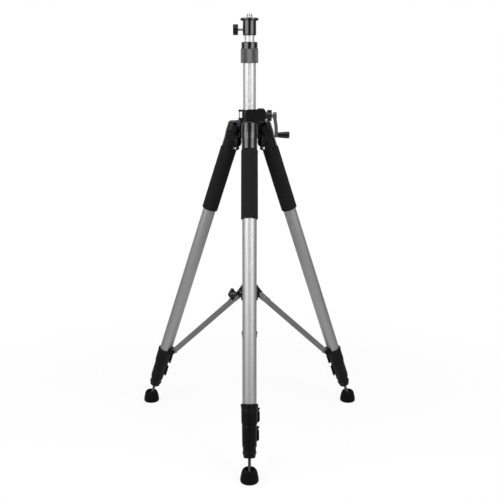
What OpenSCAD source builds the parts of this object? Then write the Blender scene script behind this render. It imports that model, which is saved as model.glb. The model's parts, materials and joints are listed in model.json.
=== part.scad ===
// Elevating tripod: three telescopic legs, a crank-driven centre column and a twist-locked extension.
// Millimetres, +Z up, origin on the floor under the column's axis, front leg towards -Y, crank towards +X.

/* [Stance] */
// Angle between each leg and the column, in degrees
leg_splay = 20.34; // [18:0.01:23]
// Distance from the column's axis to each leg hinge pin
hinge_radius = 48; // [47:0.5:52]
// Distance from the hinge pin down to the upper tube's top end
hinge_to_tube = 20; // [19:0.5:24]

/* [Leg] */
// Outer diameter of the upper leg tube
leg_tube_d = 35; // [34:0.5:36]
// Outer diameter of the middle leg tube
mid_tube_d = 31; // [30:0.5:31]
// Outer diameter of the lower leg tube
low_tube_d = 27; // [26:0.5:27]
// Wall of the leg tubes
leg_wall = 1.5; // [1:0.1:1.6]
// Length of the upper leg tube
leg_tube_length = 688; // [660:1:720]
// Length of the middle leg tube
mid_tube_length = 660; // [620:1:670]
// Length of the lower leg tube
low_tube_length = 632; // [600:1:640]
// Outer diameter of the foam grip
grip_d = 43.2; // [41:0.2:44]
// Length of the foam grip
grip_length = 180; // [140:1:200]
// Height of the upper lock collar
collar_height = 48; // [47:0.5:54]
// Height of the lower lock collar
mid_collar_height = 54; // [52:0.5:60]
// Wall of the lock collars round their tubes
collar_wall = 3; // [2.6:0.1:3.2]
// Height of the plug at the leg's lower end
leg_end_height = 26; // [24:0.5:30]
// Diameter of the threaded foot rod
foot_rod_d = 8; // [7:0.5:8]
// Length of the foot rod from the plug to its ball
foot_rod_length = 37; // [35:0.5:42]

/* [Foot] */
// Largest diameter of the rubber foot
foot_d = 45; // [44:0.5:50]
// Height of the rubber foot
foot_height = 38; // [37:0.5:40]
// Height of the ball's centre above the floor
foot_ball_height = 20; // [19:0.5:22]
// Diameter of the ball on the foot rod
foot_ball_d = 18; // [17:0.5:18]

/* [Spider] */
// Height of the spider casting
body_height = 74; // [72:1:80]
// Wall of the sleeve round the column
sleeve_wall = 3; // [2.5:0.1:3.5]
// Diameter of the boss that carries the leg hinges
boss_d = 50; // [48:0.5:51]
// Thickness of each hinge lug
lug_thickness = 14; // [12:0.5:15]
// Diameter of the leg hinge pins
hinge_pin_d = 8; // [6:0.5:9]
// Width of the gear housing to the left of the column's axis
housing_left = 10; // [10:0.5:13]
// Width of the gear housing to the right of the column's axis
housing_right = 41; // [36:0.5:41]
// Depth of the gear housing in front of the column's axis
housing_front = 35; // [34:0.5:36]

/* [Column] */
// Outer diameter of the geared column
column_d = 33; // [33:0.1:33.4]
// Wall of the geared column
column_wall = 2; // [1.8:0.1:2.2]
// Length of the geared column
column_length = 640; // [600:1:650]
// Height of the twist collar above the spider
column_raise = 119; // [100:1:140]
// Outer diameter of the fixed guide tube
guide_d = 39; // [38.5:0.1:39.2]
// Length of the fixed guide tube
guide_length = 560; // [540:1:570]
// Outer diameter of the extension tube
inner_d = 25; // [24:0.1:25]
// Length of the extension tube
inner_length = 520; // [480:1:540]
// Bare length of the extension tube between collar and head
inner_gap = 17; // [14:0.5:40]

/* [Twist collar] */
// Height of the twist collar
twist_height = 52; // [48:0.5:58]
// Height of the ribbed rubber band on the twist collar
band_height = 36; // [30:0.5:38]
// Outer diameter of the ribbed rubber band
band_d = 45.6; // [44.6:0.2:48]
// Number of flutes round the rubber band
flute_count = 12; // [8:1:14]
// Outer diameter of the twist collar's gloss ring
ring_d = 41.6; // [40.6:0.2:43]

/* [Head] */
// Outer diameter of the head cup
head_d = 34.6; // [34:0.2:38]
// Height of the head cup below the platform
head_height = 37; // [35:0.5:42]
// Diameter of the platform
platform_d = 47; // [44:0.5:60]
// Thickness of the platform
platform_thickness = 5.6; // [4:0.2:8]
// Diameter of the instrument stud, 5/8 inch
stud_d = 15.88; // [15.8:0.01:16]
// Height of the instrument stud above the platform
stud_height = 11; // [9:0.5:14]
// Diameter of the head's clamp knob
head_knob_d = 27.6; // [24:0.2:29]
// Length of the head's clamp knob
head_knob_length = 13; // [11:0.5:16]

/* [Crank] */
// Pitch module of the rack and pinion
gear_module = 1; // [1:0.01:1.02]
// Number of teeth on the pinion
pinion_teeth = 14; // [13:1:15]
// Width of the rack
rack_width = 8; // [7:0.2:8]
// Distance from the crank shaft to the handle
crank_throw = 50; // [46:0.5:54]
// Diameter of the crank shaft
crank_shaft_d = 8; // [7:0.5:8]
// Length of the handle grip
crank_grip_length = 30; // [26:0.5:36]
// Diameter across the lobes of the lift lock knob
lock_knob_d = 28.6; // [26:0.2:29]
// Length of the lift lock knob
lock_knob_length = 12; // [10:0.5:12]

/* [Spreader] */
// Length of each strut between its pivots
strut_length = 293.9; // [285:0.1:296]
// Width of the struts across the tripod
strut_width = 12; // [10:0.5:12]
// Depth of the struts
strut_depth = 14; // [12:0.5:14]
// Height of the sliding hub
hub_height = 39; // [36:0.5:44]
// Distance from the column's axis to the struts' hub pivots
hub_pivot_radius = 40; // [39:0.5:41]
// Diameter across the wings of the hub's clamp knob
hub_knob_d = 34; // [30:0.5:36]

/* [Lock levers] */
// Turn of the levers from the leg's inner side, in degrees
lever_side_turn = 48; // [46:1:60]
// Width of the lock levers
lever_width = 23; // [22:0.5:24]
// Length of the lock levers below their pins
lever_length = 33; // [30:0.5:34]
// Height by which a lever stands out from its collar
lever_proud = 5.8; // [5:0.1:6.4]

/* [Hidden] */
$fn = 72;
front_turn = -90;
right_turn = 30;
left_turn = 150;
leg_turns = [front_turn, right_turn, left_turn];
full_turn = 360;
half_turn = 180;
quarter_turn = 90;
ccw_side = 1;
cw_side = -1;
overrun = 1;
clearance = 0.3;
slide_clearance = 0.35;
chamfer = 1.2;

// Sizes along a leg, measured down from its hinge pin
slot_floor = 1.5;
slot_depth = hinge_to_tube - slot_floor;
leg_tube_end = hinge_to_tube + leg_tube_length;
collar_seat = collar_height / 2;
collar_top = leg_tube_end - collar_seat;
collar_end = collar_top + collar_height;
nest_gap = 4;
nest_top = hinge_to_tube + nest_gap;
mid_seat_share = 0.46;
mid_collar_seat = mid_collar_height * mid_seat_share;
mid_collar_top = max(collar_end + clearance, nest_top + mid_tube_length - mid_collar_seat);
mid_tube_end = mid_collar_top + mid_collar_seat;
mid_collar_end = mid_collar_top + mid_collar_height;
leg_end_seat = leg_end_height / 2;
leg_end_top = max(mid_collar_end + clearance, nest_top + low_tube_length - leg_end_seat);
low_tube_end = leg_end_top + leg_end_seat;
leg_end_bottom = leg_end_top + leg_end_height;
ball_run = leg_end_bottom + foot_rod_length;
hinge_height = foot_ball_height + ball_run * cos(leg_splay);
ball_radius_out = hinge_radius + ball_run * sin(leg_splay);

// Leg top casting
leg_top_end = 26;
leg_top_skirt = 26;
leg_top_wall = 2.5;
leg_top_radius = leg_tube_d / 2 + leg_top_wall;
leg_top_flare = 1.6;
leg_top_round = 5;
leg_top_bottom = hinge_to_tube + leg_top_skirt;
hinge_swing_radius = 21.5;
lug_end_radius = 11;
ear_inset = 27;
ear_run = 38;
ear_radius = 7.5;
ear_thickness = 13;
ear_split = 2;
ear_bore_d = 5;

// Lock collars
collar_radius = leg_tube_d / 2 + collar_wall;
mid_collar_radius = mid_tube_d / 2 + collar_wall;
collar_lip = 1;
collar_lip_height = 8.5;
collar_taper = 0.7;
lever_pin_offset = 0.3;
lever_knuckle_radius = 2.5;
lever_trunnion_radius = 1.3;
lever_neck_inset = 3.5;
lever_neck_width = lever_width - 2 * lever_neck_inset;
lever_ear_width = 3.2;
lever_ear_radius = 3.1;
lever_curve_radius = 32;
lever_lift = 0.5;
lever_shoulder = 5.4;
lever_drop = 12;
mid_lever_drop = 8;

// Strut bracket on the upper collar
bracket_inset = 27;
bracket_least_rise = 4;
bracket_cheek = 4.5;
bracket_end_radius = 7.5;
bracket_foot = 14;
bracket_foot_share = 0.8;
strut_pin_d = 6;

// Leg end plug and foot
plug_wall = 2.6;
plug_radius = low_tube_d / 2 + plug_wall;
plug_bead = 1.2;
plug_taper = 2;
plug_tip_radius = plug_radius - plug_taper;
plug_bead_share = 0.45;
foot_top_radius = 16;
foot_lip_radius = 14.6;
foot_edge = 2.5;
foot_rim = 5;
foot_tilt_reach = 24;
foot_bell_steps = 5;
foot_bell_share = 0.5;

// Spider
hinge_above_base = 16;
boss_height = 40;
body_bottom = hinge_height - hinge_above_base;
body_top = body_bottom + body_height;
column_radius = column_d / 2;
column_bore = column_radius + slide_clearance;
sleeve_radius = column_bore + sleeve_wall;
top_flange = 5;
top_flange_reach = 2;
guide_seat = 22;
guide_wall = 1.8;
hinge_pin_recess = 1.5;
hinge_pin_length = 2 * leg_top_radius - 2 * hinge_pin_recess;
housing_rise = 1;
housing_height = 33;
housing_corner = 4;
housing_end_round = 8;
housing_hump = 3;
housing_hump_length = 24;
strap_reach = 29;
strap_width = 14;
strap_lug = 5;
strap_pitch = 21;
strap_pin_d = 3;
strap_pin_inset = 2.4;

// Gear train
crank_drop = 14.5;
crank_level = body_top - crank_drop;
rack_tip_inset = 0.45;
rack_addendum_share = 0.95;
rack_dedendum_share = 1.25;
rack_addendum = rack_addendum_share * gear_module;
rack_dedendum = rack_dedendum_share * gear_module;
rack_pitch_line = column_radius - rack_tip_inset - rack_addendum;
rack_root = rack_pitch_line - rack_dedendum;
rack_bed = 0.4;
rack_back = inner_d / 2 + rack_bed;
rack_pitch = PI * gear_module;
rack_tooth_shares = [0.70, 0.4615, 0.2387];
rack_margin = 12;
pinion_radius = gear_module * pinion_teeth / 2;
pinion_addendum_share = 0.85;
pinion_dedendum_share = 1.25;
pinion_tip = pinion_radius + pinion_addendum_share * gear_module;
pinion_root = pinion_radius - pinion_dedendum_share * gear_module;
pinion_tooth_shares = [0.557, 0.398, 0.134];
pinion_width = rack_width - 2 * clearance;
pinion_room = 0.6;
crank_line = rack_pitch_line + pinion_radius;
lift_stop_room = 1.5;
lift_stop_gap = housing_rise + housing_hump + lift_stop_room;
lift_down = column_raise - lift_stop_gap;
lift_up = 370;
rack_low = crank_level - lift_up - rack_margin;
rack_high = crank_level + lift_down + rack_margin;
rack_first = ceil((rack_low - crank_level) / rack_pitch);
rack_last = floor((rack_high - crank_level) / rack_pitch) - 1;
crank_bush_radius = 7;
crank_washer = 3;
crank_washer_radius = 6.5;
lock_knob_gap = 4.5;
lock_lobe_radius = 5;
lock_lobes = 4;
lock_core_radius = 9.6;
lock_knob_start = housing_right + lock_knob_gap;
crank_bush_end = lock_knob_start + lock_knob_length + clearance;
crank_arm_start = crank_bush_end + clearance + crank_washer;
crank_arm_thickness = 8.6;
crank_arm_lean = 4;
crank_hub_boss = 0.8;
crank_hub_radius = 8.5;
crank_foot_radius = 6.5;
crank_spindle_d = 6;
crank_grip_root_d = 14;
crank_grip_end_d = 18.4;
crank_grip_start = crank_arm_start + crank_arm_thickness + crank_arm_lean + clearance;
shaft_end_radius = crank_shaft_d / 2;

// Column stack
guide_radius = guide_d / 2;
guide_bottom = body_bottom + guide_seat - guide_length;
cap_height = 17;
cap_radius = 22;
cap_skirt_wall = 1.2;
cap_skirt_radius = guide_radius + cap_skirt_wall;
cap_flange = 7;
twist_bottom = body_top + column_raise;
twist_top = twist_bottom + twist_height;
twist_shoulder = 20;
column_top = twist_top - twist_shoulder;
column_bottom = column_top - column_length;
bush_length = 34;
bush_lip = 3;
twist_core_wall = 3.2;
flute_radius = 5.4;
flute_depth = 1;
scallop_radius = 4.4;
scallop_rise = 2;
twist_core_radius = column_bore + twist_core_wall;
inner_radius = inner_d / 2;
inner_wall = 1.5;
inner_bore = inner_radius + slide_clearance;
head_bottom = twist_top + inner_gap;
head_top = head_bottom + head_height;
platform_top = head_top + platform_thickness;
head_roof = 6;
inner_top = head_top - head_roof - clearance;
inner_bottom = inner_top - inner_length;
inner_plug_length = 18;
stud_base_height = 2.4;
stud_base_seat = 0.8;
stud_base_rim = 1.2;
stud_base_radius = stud_d / 2 + stud_base_rim;
stud_root = 8;
stud_root_radius = 6;
head_knob_drop = 28.5;
head_knob_level = platform_top - head_knob_drop;
head_knob_gap = 12;
head_knob_start = head_d / 2 + head_knob_gap;
head_screw_d = 6;
head_screw_grip = 8;
knob_lobe_count = 6;
knob_scoop_share = 0.32;
knob_scoop_offset_share = 0.1;

// Spreader: the strut brackets stand higher where a short guide tube would bring the hub down on its cap
hub_above_pivot = 36;
hub_stop_gap = 4;
cap_top = guide_bottom + cap_flange + chamfer;
hub_least_level = cap_top + hub_stop_gap + hub_height - hub_above_pivot;

function bracket_reach(rise) =
    hinge_radius - bracket_inset * cos(leg_splay) + (collar_top - rise) * sin(leg_splay);

function bracket_level(rise) =
    hinge_height - bracket_inset * sin(leg_splay) - (collar_top - rise) * cos(leg_splay);

function strut_climb(rise) = sqrt(pow(strut_length, 2) - pow(bracket_reach(rise) - hub_pivot_radius, 2));

hub_shortfall = hub_least_level - bracket_level(bracket_least_rise) - strut_climb(bracket_least_rise);
bracket_rise = bracket_least_rise + max(0, hub_shortfall);
bracket_run = collar_top - bracket_rise;
bracket_r = bracket_reach(bracket_rise);
bracket_z = bracket_level(bracket_rise);
strut_reach = bracket_r - hub_pivot_radius;
strut_rise = strut_climb(bracket_rise);
hub_pivot_height = bracket_z + strut_rise;
strut_tilt = atan2(strut_rise, strut_reach);
strut_flange = 2;
strut_channel = 9;
hub_top = hub_pivot_height + hub_above_pivot;
hub_bottom = hub_top - hub_height;
hub_bore = guide_radius + slide_clearance;
hub_wall = 3.6;
hub_radius = hub_bore + hub_wall;
hub_cheek = 4.5;
hub_cheek_radius = 7;
hub_slot = strut_width + 2 * clearance;
hub_rivet_radius = 4;
hub_rivet_proud = 1;
hub_rivet_length = hub_slot + 2 * (hub_cheek + hub_rivet_proud);
hub_knob_turn = 210;
hub_knob_rise = 21;
hub_boss_radius = 9;
hub_boss_reach = 34;
hub_knob_start = 41;
hub_knob_length = 24;
hub_knob_hub_radius = 8;
hub_wing_radius = 6;
hub_wing_thickness = 9;
hub_screw_d = 8;

// Places a piece at a height on the column's axis
module level(height) {
    translate([0, 0, height]) children();
}

// Turns a piece so that its axis runs along +X
module along_x() {
    rotate([0, quarter_turn, 0]) children();
}

// Stands a flat outline in the plane of X and Z and thickens it evenly to both sides
module radial_plate(thickness) {
    rotate([quarter_turn, 0, 0]) linear_extrude(thickness, center = true) children();
}

// Stands a flat outline in the plane of Y and Z and thickens it along +X
module cross_plate(thickness) {
    rotate([quarter_turn, 0, quarter_turn]) linear_extrude(thickness) children();
}

// A tube from one height to another
module pipe(outer, bore, low, high) {
    level(low) difference() {
        cylinder(r = outer, h = high - low);
        level(-overrun) cylinder(r = bore, h = high - low + 2 * overrun);
    }
}

// The frame of one leg: its hinge pin at the origin, +X outward, -Z down the leg
module leg_frame(turn) {
    rotate([0, 0, turn]) translate([hinge_radius, 0, hinge_height]) rotate([0, -leg_splay, 0]) children();
}

// A tube along a leg between two distances from the hinge pin
module leg_pipe(turn, outer, bore, top, end) {
    leg_frame(turn) pipe(outer, bore, -end, -top);
}

// The frame of one lock lever: its pin at the origin, +X away from the leg
module lever_frame(turn, side, pin_run, outer) {
    leg_frame(turn) level(-pin_run) rotate([0, 0, half_turn - side * lever_side_turn])
        translate([outer + lever_pin_offset, 0, 0]) children();
}

// A bar across the leg at a lever's pin
module lever_cross(radius, width) {
    rotate([quarter_turn, 0, 0]) cylinder(r = radius, h = width, center = true);
}

// The frame of the crank shaft: its axis along +X from the column's middle plane
module crank_frame() {
    translate([0, -crank_line, crank_level]) children();
}

// The frame of the hub's clamp knob: its axis along +X from the column's axis
module hub_knob_frame() {
    rotate([0, 0, hub_knob_turn]) level(hub_bottom + hub_knob_rise) children();
}

// A rectangle with round corners, from its lower left corner
module round_rectangle(width, height, corner) {
    translate([corner, 0]) square([width - 2 * corner, height]);
    translate([0, corner]) square([width, height - 2 * corner]);
    for (x = [corner, width - corner]) {
        for (y = [corner, height - corner]) {
            translate([x, y]) circle(r = corner);
        }
    }
}

// One ear of the spider that a leg hinges on
module hinge_lug() {
    radial_plate(lug_thickness) {
        polygon([
            [column_radius, body_bottom],
            [hinge_radius, hinge_height - lug_end_radius],
            [hinge_radius, hinge_height + lug_end_radius],
            [column_radius, body_bottom + boss_height]
        ]);
        translate([hinge_radius, hinge_height]) circle(r = lug_end_radius);
    }
}

// The two plates beside the sleeve that hold the strap pin
module strap_lugs() {
    for (low = [body_top - strap_lug, body_top - strap_lug - strap_pitch]) {
        translate([-strap_reach, -strap_width / 2, low]) cube([strap_reach, strap_width, strap_lug]);
    }
}

module strap_pin(radius) {
    translate([strap_pin_inset - strap_reach, 0, body_top - strap_lug - strap_pitch])
        cylinder(r = radius, h = strap_pitch + strap_lug);
}

module hinge_pin(turn, radius, length) {
    leg_frame(turn) rotate([quarter_turn, 0, 0]) cylinder(r = radius, h = length, center = true);
}

module gear_housing() {
    low = body_top + housing_rise - housing_height;
    length = housing_left + housing_right;
    hump_height = housing_height + housing_hump;
    intersection() {
        translate([-housing_left, -housing_front, low]) cross_plate(length)
            round_rectangle(housing_front, hump_height, housing_corner);
        radial_plate(2 * housing_front + overrun) {
            translate([-housing_left, low]) round_rectangle(length, housing_height, housing_end_round);
            translate([housing_right - housing_hump_length, low])
                round_rectangle(housing_hump_length, hump_height, housing_end_round);
        }
    }
}

module spider_body() {
    color("dimgray") difference() {
        union() {
            level(body_bottom) cylinder(r = sleeve_radius, h = body_height);
            level(body_bottom) cylinder(d = boss_d, h = boss_height);
            level(body_top - top_flange) cylinder(r = sleeve_radius + top_flange_reach, h = top_flange);
            for (turn = leg_turns) rotate([0, 0, turn]) hinge_lug();
            gear_housing();
            strap_lugs();
            crank_frame() along_x() cylinder(r = crank_bush_radius, h = crank_bush_end);
        }
        level(body_bottom - overrun) cylinder(r = column_bore, h = body_height + 3 * overrun);
        level(body_bottom - overrun) cylinder(r = guide_radius, h = guide_seat + overrun);
        crank_frame() along_x() level(-pinion_width / 2 - pinion_room)
            cylinder(r = pinion_tip + pinion_room, h = pinion_width + 2 * pinion_room);
        crank_frame() along_x() level(-housing_left + overrun)
            cylinder(r = shaft_end_radius + clearance, h = housing_left + crank_bush_end);
        for (turn = leg_turns) hinge_pin(turn, hinge_pin_d / 2, boss_d);
        strap_pin(strap_pin_d / 2);
    }
}

module guide_tube() {
    color("silver") pipe(guide_radius, guide_radius - guide_wall, guide_bottom, body_bottom + guide_seat);
}

module guide_end_cap() {
    floor_thickness = cap_height - cap_flange - chamfer;
    color("dimgray") level(guide_bottom - floor_thickness) difference() {
        rotate_extrude() polygon([
            [0, 0],
            [cap_skirt_radius - chamfer, 0],
            [cap_skirt_radius, chamfer],
            [cap_skirt_radius, cap_height - cap_flange],
            [cap_radius, cap_height - cap_flange + chamfer],
            [cap_radius, cap_height - chamfer],
            [cap_radius - chamfer, cap_height],
            [0, cap_height]
        ]);
        level(floor_thickness) cylinder(r = guide_radius, h = cap_height);
    }
}

module body_pins() {
    color("gainsboro") {
        for (turn = leg_turns) hinge_pin(turn, hinge_pin_d / 2, hinge_pin_length);
        strap_pin(strap_pin_d / 2);
    }
}

module column_tube() {
    color("silver") difference() {
        pipe(column_radius, column_radius - column_wall, column_bottom, column_top);
        translate([-rack_width / 2, -column_radius - overrun, rack_low])
            cube([rack_width, column_radius + overrun - rack_back, rack_high - rack_low]);
    }
}

// One tooth of the rack, as points in depth from the column's axis and in height
function rack_tooth(middle) = [
    [rack_root, middle - rack_tooth_shares[0] * rack_pitch / 2],
    [rack_pitch_line, middle - rack_tooth_shares[1] * rack_pitch / 2],
    [rack_pitch_line + rack_addendum, middle - rack_tooth_shares[2] * rack_pitch / 2],
    [rack_pitch_line + rack_addendum, middle + rack_tooth_shares[2] * rack_pitch / 2],
    [rack_pitch_line, middle + rack_tooth_shares[1] * rack_pitch / 2],
    [rack_root, middle + rack_tooth_shares[0] * rack_pitch / 2]
];

module column_rack() {
    teeth = [
        for (index = [rack_first : rack_last])
            each rack_tooth(crank_level + rack_pitch * index + rack_pitch / 2)
    ];
    color("darkgray") rotate([0, 0, -quarter_turn]) radial_plate(rack_width)
        polygon(concat([[rack_back, rack_low], [rack_root, rack_low]], teeth,
            [[rack_root, rack_high], [rack_back, rack_high]]));
}

module column_bush() {
    bore = column_radius - column_wall;
    color("black") {
        pipe(bore, inner_bore, column_top - bush_length, column_top);
        pipe(column_radius, inner_bore, column_top, column_top + bush_lip);
    }
}

module twist_collar() {
    roof = column_top + bush_lip + clearance;
    color("black") difference() {
        level(twist_bottom) rotate_extrude() polygon([
            [0, 0],
            [twist_core_radius, 0],
            [twist_core_radius, band_height],
            [ring_d / 2, band_height],
            [ring_d / 2, twist_height - chamfer],
            [ring_d / 2 - chamfer, twist_height],
            [0, twist_height]
        ]);
        level(twist_bottom - overrun) cylinder(r = column_bore, h = roof - twist_bottom + overrun);
        level(twist_bottom) cylinder(r = inner_bore, h = twist_height + overrun);
    }
}

module twist_collar_band() {
    color("darkslategray") level(twist_bottom) difference() {
        difference() {
            rotate_extrude() polygon([
                [twist_core_radius, 0],
                [band_d / 2 - chamfer, 0],
                [band_d / 2, chamfer],
                [band_d / 2, band_height - chamfer],
                [band_d / 2 - chamfer, band_height],
                [twist_core_radius, band_height]
            ]);
            for (index = [1 : flute_count]) rotate([0, 0, front_turn + full_turn * index / flute_count])
                translate([band_d / 2 + flute_radius - flute_depth, 0, -overrun])
                    cylinder(r = flute_radius, h = band_height + 2 * overrun);
        }
        for (index = [1 : flute_count]) rotate([0, 0, front_turn + full_turn * index / flute_count])
            translate([twist_core_radius - overrun, 0, band_height + scallop_rise]) along_x()
                cylinder(r = scallop_radius, h = band_d / 2);
    }
}

module extension_tube() {
    color("silver") pipe(inner_radius, inner_radius - inner_wall, inner_bottom, inner_top);
}

module extension_plug() {
    color("black") level(inner_top - inner_plug_length)
        cylinder(r = inner_radius - inner_wall, h = inner_plug_length);
}

module head_cup() {
    color("black") difference() {
        level(head_bottom) rotate_extrude() polygon([
            [0, 0],
            [head_d / 2 - chamfer, 0],
            [head_d / 2, chamfer],
            [head_d / 2, head_height],
            [platform_d / 2 - chamfer, head_height],
            [platform_d / 2, head_height + chamfer],
            [platform_d / 2, head_height + platform_thickness - chamfer],
            [platform_d / 2 - chamfer, head_height + platform_thickness],
            [0, head_height + platform_thickness]
        ]);
        level(head_bottom - overrun) cylinder(r = inner_bore, h = head_height - head_roof + overrun);
        level(platform_top - stud_root) cylinder(r = stud_root_radius, h = stud_root + overrun);
        level(platform_top - stud_base_seat)
            cylinder(r = stud_base_radius + clearance, h = stud_base_seat + overrun);
        level(head_knob_level) rotate([0, -quarter_turn, 0])
            cylinder(d = head_screw_d + 2 * clearance, h = head_d);
    }
}

module instrument_stud() {
    color("gainsboro") {
        level(platform_top - stud_root) cylinder(r = stud_root_radius, h = stud_root);
        level(platform_top - stud_base_seat)
            cylinder(r = stud_base_radius, h = stud_base_seat + stud_base_height);
        level(platform_top) cylinder(d = stud_d, h = stud_height);
    }
}

// A round knob along +Z with finger scoops round its rim
module scooped_knob(diameter, length) {
    difference() {
        rotate_extrude() polygon([
            [0, 0],
            [diameter / 2 - chamfer, 0],
            [diameter / 2, chamfer],
            [diameter / 2, length - chamfer],
            [diameter / 2 - chamfer, length],
            [0, length]
        ]);
        for (index = [1 : knob_lobe_count]) {
            rotate([0, 0, full_turn * index / knob_lobe_count])
                translate([diameter / 2 + diameter * knob_scoop_offset_share, 0, -overrun])
                    cylinder(d = diameter * knob_scoop_share, h = length + 2 * overrun);
        }
    }
}

module head_knob() {
    color("black") level(head_knob_level) rotate([0, -quarter_turn, 0]) level(head_knob_start) difference() {
        scooped_knob(head_knob_d, head_knob_length);
        level(-overrun) cylinder(d = head_screw_d, h = head_screw_grip + overrun);
    }
}

module head_knob_screw() {
    tip = inner_radius + clearance;
    color("gainsboro") level(head_knob_level) rotate([0, -quarter_turn, 0]) level(tip)
        cylinder(d = head_screw_d, h = head_knob_start + head_screw_grip - tip);
}

// One tooth of the pinion, as points round the crank shaft
function polar_point(angle, radius, offset) = [
    radius * cos(angle) - offset * sin(angle),
    radius * sin(angle) + offset * cos(angle)
];

function pinion_tooth(angle) = [
    polar_point(angle, pinion_root, -pinion_tooth_shares[0] * rack_pitch / 2),
    polar_point(angle, pinion_radius, -pinion_tooth_shares[1] * rack_pitch / 2),
    polar_point(angle, pinion_tip, -pinion_tooth_shares[2] * rack_pitch / 2),
    polar_point(angle, pinion_tip, pinion_tooth_shares[2] * rack_pitch / 2),
    polar_point(angle, pinion_radius, pinion_tooth_shares[1] * rack_pitch / 2),
    polar_point(angle, pinion_root, pinion_tooth_shares[0] * rack_pitch / 2)
];

module crank_shaft() {
    shaft_start = -housing_left + overrun + clearance;
    teeth = [for (index = [1 : pinion_teeth]) each pinion_tooth(full_turn * index / pinion_teeth)];
    color("gainsboro") crank_frame() {
        translate([-pinion_width / 2, 0, 0]) cross_plate(pinion_width) polygon(teeth);
        along_x() level(shaft_start)
            cylinder(r = shaft_end_radius, h = crank_arm_start + crank_arm_thickness - shaft_start);
        along_x() level(crank_bush_end + clearance) cylinder(r = crank_washer_radius, h = crank_washer);
    }
}

// The crank arm's outline seen along the shaft
module crank_arm_outline() {
    circle(r = crank_hub_radius);
    translate([0, -crank_throw]) circle(r = crank_foot_radius);
    polygon([
        [-crank_hub_radius, 0],
        [-crank_foot_radius, -crank_throw],
        [crank_foot_radius, -crank_throw],
        [crank_hub_radius, 0]
    ]);
}

// The crank arm's outline seen from the front, bowed out towards the handle
module crank_arm_bow_outline() {
    hub_line = -crank_hub_radius;
    foot_line = crank_hub_radius - crank_throw;
    run = hub_line - foot_line;
    bow = (run * run + crank_arm_lean * crank_arm_lean) / crank_arm_lean / 2;
    translate([0, hub_line]) square([crank_arm_thickness + crank_hub_boss, 2 * crank_hub_radius + overrun]);
    intersection() {
        translate([crank_arm_lean - bow, foot_line]) difference() {
            circle(r = bow + crank_arm_thickness);
            circle(r = bow);
        }
        translate([0, foot_line]) square([crank_arm_lean + crank_arm_thickness, run]);
    }
    translate([crank_arm_lean, -crank_throw - crank_hub_radius])
        square([crank_arm_thickness, 2 * crank_hub_radius]);
}

module crank_arm() {
    spindle_root = crank_arm_lean + crank_arm_thickness;
    color("black") crank_frame() translate([crank_arm_start, 0, 0]) {
        difference() {
            intersection() {
                cross_plate(crank_arm_thickness + crank_arm_lean) crank_arm_outline();
                radial_plate(2 * crank_hub_radius + overrun) crank_arm_bow_outline();
            }
            along_x() level(-overrun) cylinder(r = shaft_end_radius, h = crank_arm_thickness + overrun);
        }
        translate([spindle_root, 0, -crank_throw]) along_x()
            cylinder(d = crank_spindle_d, h = clearance + crank_grip_length - crank_spindle_d);
    }
}

module crank_grip() {
    color("black") crank_frame() translate([crank_grip_start, 0, -crank_throw]) along_x() difference() {
        rotate_extrude() polygon([
            [0, 0],
            [crank_grip_root_d / 2 - chamfer, 0],
            [crank_grip_root_d / 2, chamfer],
            [crank_grip_end_d / 2, crank_grip_length - 2 * chamfer],
            [crank_grip_end_d / 2 - 2 * chamfer, crank_grip_length],
            [0, crank_grip_length]
        ]);
        level(-overrun) cylinder(d = crank_spindle_d + 2 * clearance,
            h = crank_grip_length - crank_spindle_d + clearance + overrun);
    }
}

module lift_lock_knob() {
    color("black") crank_frame() along_x() level(lock_knob_start) difference() {
        union() {
            cylinder(r = lock_core_radius, h = lock_knob_length);
            for (index = [1 : lock_lobes]) {
                rotate([0, 0, full_turn * index / lock_lobes])
                    translate([lock_knob_d / 2 - lock_lobe_radius, 0, 0])
                        cylinder(r = lock_lobe_radius, h = lock_knob_length);
            }
        }
        level(-overrun) cylinder(r = crank_bush_radius + clearance, h = lock_knob_length + 2 * overrun);
    }
}

// One fork of the hub, with the strut's slot still filled
module hub_fork() {
    radial_plate(hub_slot + 2 * hub_cheek) {
        polygon([
            [guide_radius, hub_bottom + hub_cheek_radius],
            [hub_pivot_radius, hub_pivot_height - hub_cheek_radius],
            [hub_pivot_radius + hub_cheek_radius, hub_pivot_height],
            [guide_radius, hub_top]
        ]);
        translate([hub_pivot_radius, hub_pivot_height]) circle(r = hub_cheek_radius);
    }
}

module spreader_hub() {
    color("dimgray") difference() {
        union() {
            level(hub_bottom) cylinder(r = hub_radius, h = hub_height);
            for (turn = leg_turns) rotate([0, 0, turn]) {
                hub_fork();
                translate([hub_pivot_radius, 0, hub_pivot_height]) rotate([quarter_turn, 0, 0])
                    cylinder(r = hub_rivet_radius, h = hub_rivet_length, center = true);
            }
            hub_knob_frame() along_x() cylinder(r = hub_boss_radius, h = hub_boss_reach);
        }
        level(hub_bottom - overrun - hub_pivot_radius)
            cylinder(r = hub_bore, h = hub_height + hub_pivot_radius + 2 * overrun);
        for (turn = leg_turns) rotate([0, 0, turn])
            translate([hub_radius, -hub_slot / 2, hub_bottom - hub_pivot_radius])
                cube([hub_pivot_radius, hub_slot, hub_height + 2 * hub_pivot_radius]);
        hub_knob_frame() along_x() cylinder(d = hub_screw_d + 2 * clearance, h = hub_boss_reach + overrun);
    }
}

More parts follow.
